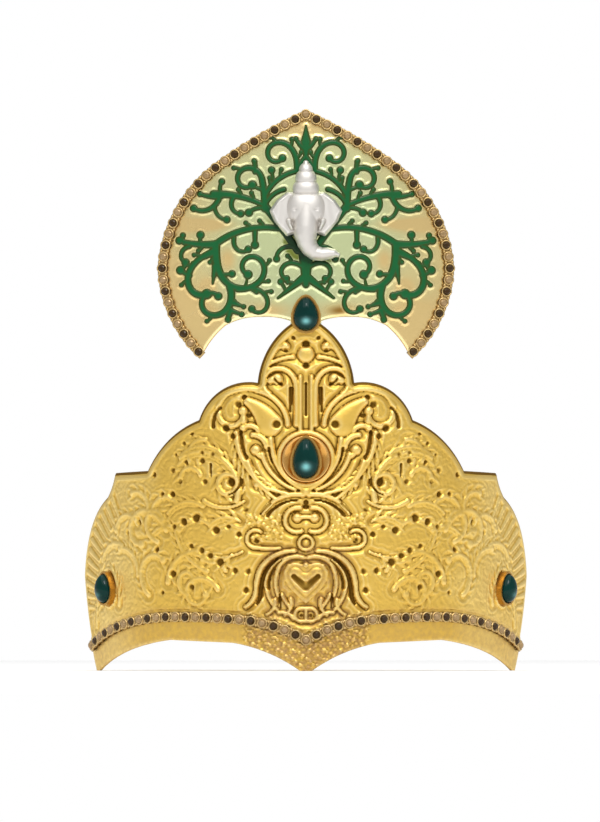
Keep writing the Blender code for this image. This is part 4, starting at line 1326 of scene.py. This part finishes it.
def glassy(name, colour, deep, roughness, scale, metallic=0.0, sheen=0.15):
    """Foil-backed glass, which reads as a deep colour under a clear, polished coat."""
    material, tree, shader = new_material(name)
    feed(tree, shader, {
        "Base Color": mixed(tree, noise(tree, scale), (*colour, 1), (*deep, 1)),
        "Roughness": roughness, "Metallic": metallic, "Specular IOR Level": sheen,
        "Coat Weight": sheen, "Coat Roughness": 0.03,
    })
    return material


strip_gold = metal(
    "Border gold", (0.62, 0.44, 0.19), (0.32, 0.20, 0.07), (0.07, 0.035, 0.008),
    depth=2.2, polish=0.3, grain=0.00003, cloud=200.0,
)
dark_stone = glassy("Dark stone", (0.030, 0.020, 0.006), (0.06, 0.026, 0.006), 0.2, 500.0)
pale_stone = glassy("Pale stone", (0.50, 0.34, 0.18), (0.26, 0.17, 0.07), 0.25, 500.0, metallic=0.3)


def build_border(name, line, count, bend, cad_node, first_dark):
    """A whole row: its strip with the cups, and the dark and pale stones in turn."""
    places = evenly_along(line, count, 0.5)
    build_strip(f"{name}_strip", line, places, bend, cad_node)
    build_stones(f"{name}_dark_stones", places[first_dark::2], bend, dark_stone)
    build_stones(f"{name}_pale_stones", places[1 - first_dark::2], bend, pale_stone)


build_border("tiara", stone_line, TIARA_STONES, bend_tiara, "tiara_stone_border", 1)

fan_right = arc_points(FAN_EDGE[5:], 0.8)
fan_rim = np.concatenate([fan_right * (-1, 1), fan_right[-2::-1]])
fan_line = offset_line(fan_rim, -CHAIN_INSET)
build_border("fan", fan_line, FAN_STONES, bend_fan, "fan_stone_border", 0)

# Pear stones and their cups
# Four domed glass stones, cut as pears, each held by the rolled lip of a sheet cup that is soldered
# to the tiara. The cup on the peak is riveted through both plates, and the CAD parts of the cups
# stay as they are.
Cabochon = namedtuple("Cabochon", "name u v half_width half_height dome glow")
CABOCHONS = [
    Cabochon("centre", 0.0, 57.4, 3.2, 5.4, 2.6, 1.0),
    Cabochon("apex", 0.0, 96.4, 3.1, 4.5, 2.6, 0.9),
    Cabochon("left", -62.6, 22.4, 2.7, 3.9, 2.4, 0.25),
    Cabochon("right", 62.6, 22.4, 2.7, 3.9, 2.4, 0.25),
]
DISH_SECTION = [
    (0.0, 0.25), (2.2, 0.28), (4.2, 0.42), (5.5, 0.72), (6.0, 0.98), (6.25, 0.9), (6.3, 0.1),
]
PEAR_TAPER = 0.24
STONE_BASE = 1.2
STONE_WALL = 0.7
# Painted highlight: a pale spot near the dome's foot, where it would gather light falling in from
# above.
GLINT_COLOUR = (0.24, 0.62, 0.62, 1)
cabochon_glass = glassy(
    "Green glass", (0.001, 0.042, 0.036), (0.001, 0.014, 0.010), 0.08, 160.0, sheen=0.1
)
lay_over(cabochon_glass, mark_value(cabochon_glass.node_tree, "Painted glint"), GLINT_COLOUR)
cup_gold = metal(
    "Cup gold", (0.80, 0.52, 0.16), (0.50, 0.28, 0.07), (0.20, 0.09, 0.01),
    depth=1.0, polish=0.25, grain=0.00002, cloud=160.0,
)


def build_cabochon(stone):
    bm = bmesh.new()
    bmesh.ops.create_uvsphere(bm, u_segments=40, v_segments=24, radius=1.0)
    points = coordinates(bm.verts)
    taper = 1 - PEAR_TAPER * np.clip(points[:, 1], -1, 1)
    flat = np.where(points[:, 2] > 0, points[:, 2] * stone.dome, points[:, 2] * STONE_WALL)
    across = stone.u + points[:, 0] * stone.half_width * taper
    up = stone.v + points[:, 1] * stone.half_height
    place(bm.verts, np.stack([across, up, STONE_BASE + STONE_WALL + flat], 1))
    bmesh.ops.recalc_face_normals(bm, faces=bm.faces)

    def painted_glint(places):
        across = (places[:, 0] - stone.u) / (0.30 * stone.half_width)
        up = (places[:, 1] - stone.v + 0.44 * stone.half_height) / (0.16 * stone.half_height)
        return stone.glow * np.exp(-(across**2) - up**2)

    piece = make_piece(
        f"{stone.name}_cabochon", bm, cabochon_glass, bend_tiara,
        marks={"Painted glint": painted_glint},
    )
    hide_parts(f"{stone.name}_stone")


def build_dish():
    """The round dish behind the centre stone, spun from sheet and burnished bright."""
    bm = bmesh.new()
    section = [bm.verts.new((radius, 0, height)) for radius, height in DISH_SECTION]
    edges = [bm.edges.new(pair) for pair in zip(section, section[1:])]
    bmesh.ops.spin(
        bm, geom=section + edges, axis=(0, 0, 1), cent=(0, 0, 0), angle=math.tau, steps=64,
        use_merge=True,
    )
    bmesh.ops.remove_doubles(bm, verts=bm.verts, dist=0.0001)
    rim = [e for e in bm.edges if e.is_boundary]
    bmesh.ops.holes_fill(bm, edges=rim, sides=0)
    bmesh.ops.translate(bm, vec=(*DISH_CENTRE, 0), verts=bm.verts)
    bmesh.ops.recalc_face_normals(bm, faces=bm.faces)
    make_piece("centre_dish", bm, dish_gold, bend_tiara)


dish_gold = metal(
    "Burnished dish", (0.90, 0.56, 0.20), (0.72, 0.36, 0.08), (0.26, 0.10, 0.01),
    depth=1.0, polish=0.1, grain=0.00001, cloud=90.0,
)
build_dish()

for cabochon in CABOCHONS:
    build_cabochon(cabochon)
    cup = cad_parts[f"{cabochon.name}_bezel"]
    cup.data.materials.clear()
    cup.data.materials.append(cup_gold)

# Floor, lights and camera
# A white floor under soft studio light, seen straight on from low down through a long lens. The
# world lights the crown less than the white that the camera sees round it.
FRAME_HEIGHT = 0.22194
SIGHT = (-0.0016, -0.02, 0.0702)
CAMERA_DISTANCE = 2.6
CAMERA_HEIGHT = 0.01
SENSOR = 36.0
FLOOR_RADIUS = 1.0
WHITE = (1.0, 1.0, 1.0, 1)
WORLD_LIGHT = 0.55

floor_bm = bmesh.new()
bmesh.ops.create_circle(floor_bm, cap_ends=True, segments=96, radius=FLOOR_RADIUS)
floor_mesh = bpy.data.meshes.new("Floor")
floor_bm.to_mesh(floor_mesh)
floor_bm.free()
floor = bpy.data.objects.new("Floor", floor_mesh)
bpy.context.scene.collection.objects.link(floor)
paper, tree, shader = new_material("Paper")
feed(tree, shader, {"Base Color": (0.95, 0.95, 0.95, 1), "Roughness": 0.9})
floor_mesh.materials.append(paper)

world = bpy.data.worlds.new("Studio")
world.use_nodes = True
tree = world.node_tree
lighting = tree.nodes["Background"]
feed(tree, lighting, {"Color": WHITE, "Strength": WORLD_LIGHT})
seen = add_node(tree, "Background", {"Color": WHITE})
inputs = {
    0: add_node(tree, "LightPath").outputs["Is Camera Ray"], 1: lighting.outputs[0],
    2: seen.outputs[0],
}
either = add_node(tree, "MixShader", inputs)
feed(tree, tree.nodes["World Output"], {"Surface": either.outputs[0]})
bpy.context.scene.world = world


def add_softbox(name, location, size, watts):
    light = bpy.data.lights.new(name, "AREA")
    light.shape = "RECTANGLE"
    light.size, light.size_y = size
    light.energy = watts
    lamp = bpy.data.objects.new(name, light)
    lamp.location = location
    lamp.rotation_euler = (Vector(SIGHT) - Vector(location)).to_track_quat("-Z", "Y").to_euler()
    bpy.context.scene.collection.objects.link(lamp)


add_softbox("Key", (0.2, -1.3, 1.4), (0.5, 0.5), 9)
add_softbox("Top", (0.0, -0.7, 2.2), (3.0, 4.0), 50)

lens = bpy.data.cameras.new("Camera")
lens.sensor_width = SENSOR
lens.lens = SENSOR * CAMERA_DISTANCE / FRAME_HEIGHT
lens.clip_end = 20.0
camera = bpy.data.objects.new("Camera", lens)
camera.location = (SIGHT[0], SIGHT[1] - CAMERA_DISTANCE, CAMERA_HEIGHT)
camera.rotation_euler = (Vector(SIGHT) - camera.location).to_track_quat("-Z", "Y").to_euler()
bpy.context.scene.collection.objects.link(camera)
bpy.context.scene.camera = camera
bpy.context.scene.view_settings.view_transform = "Standard"
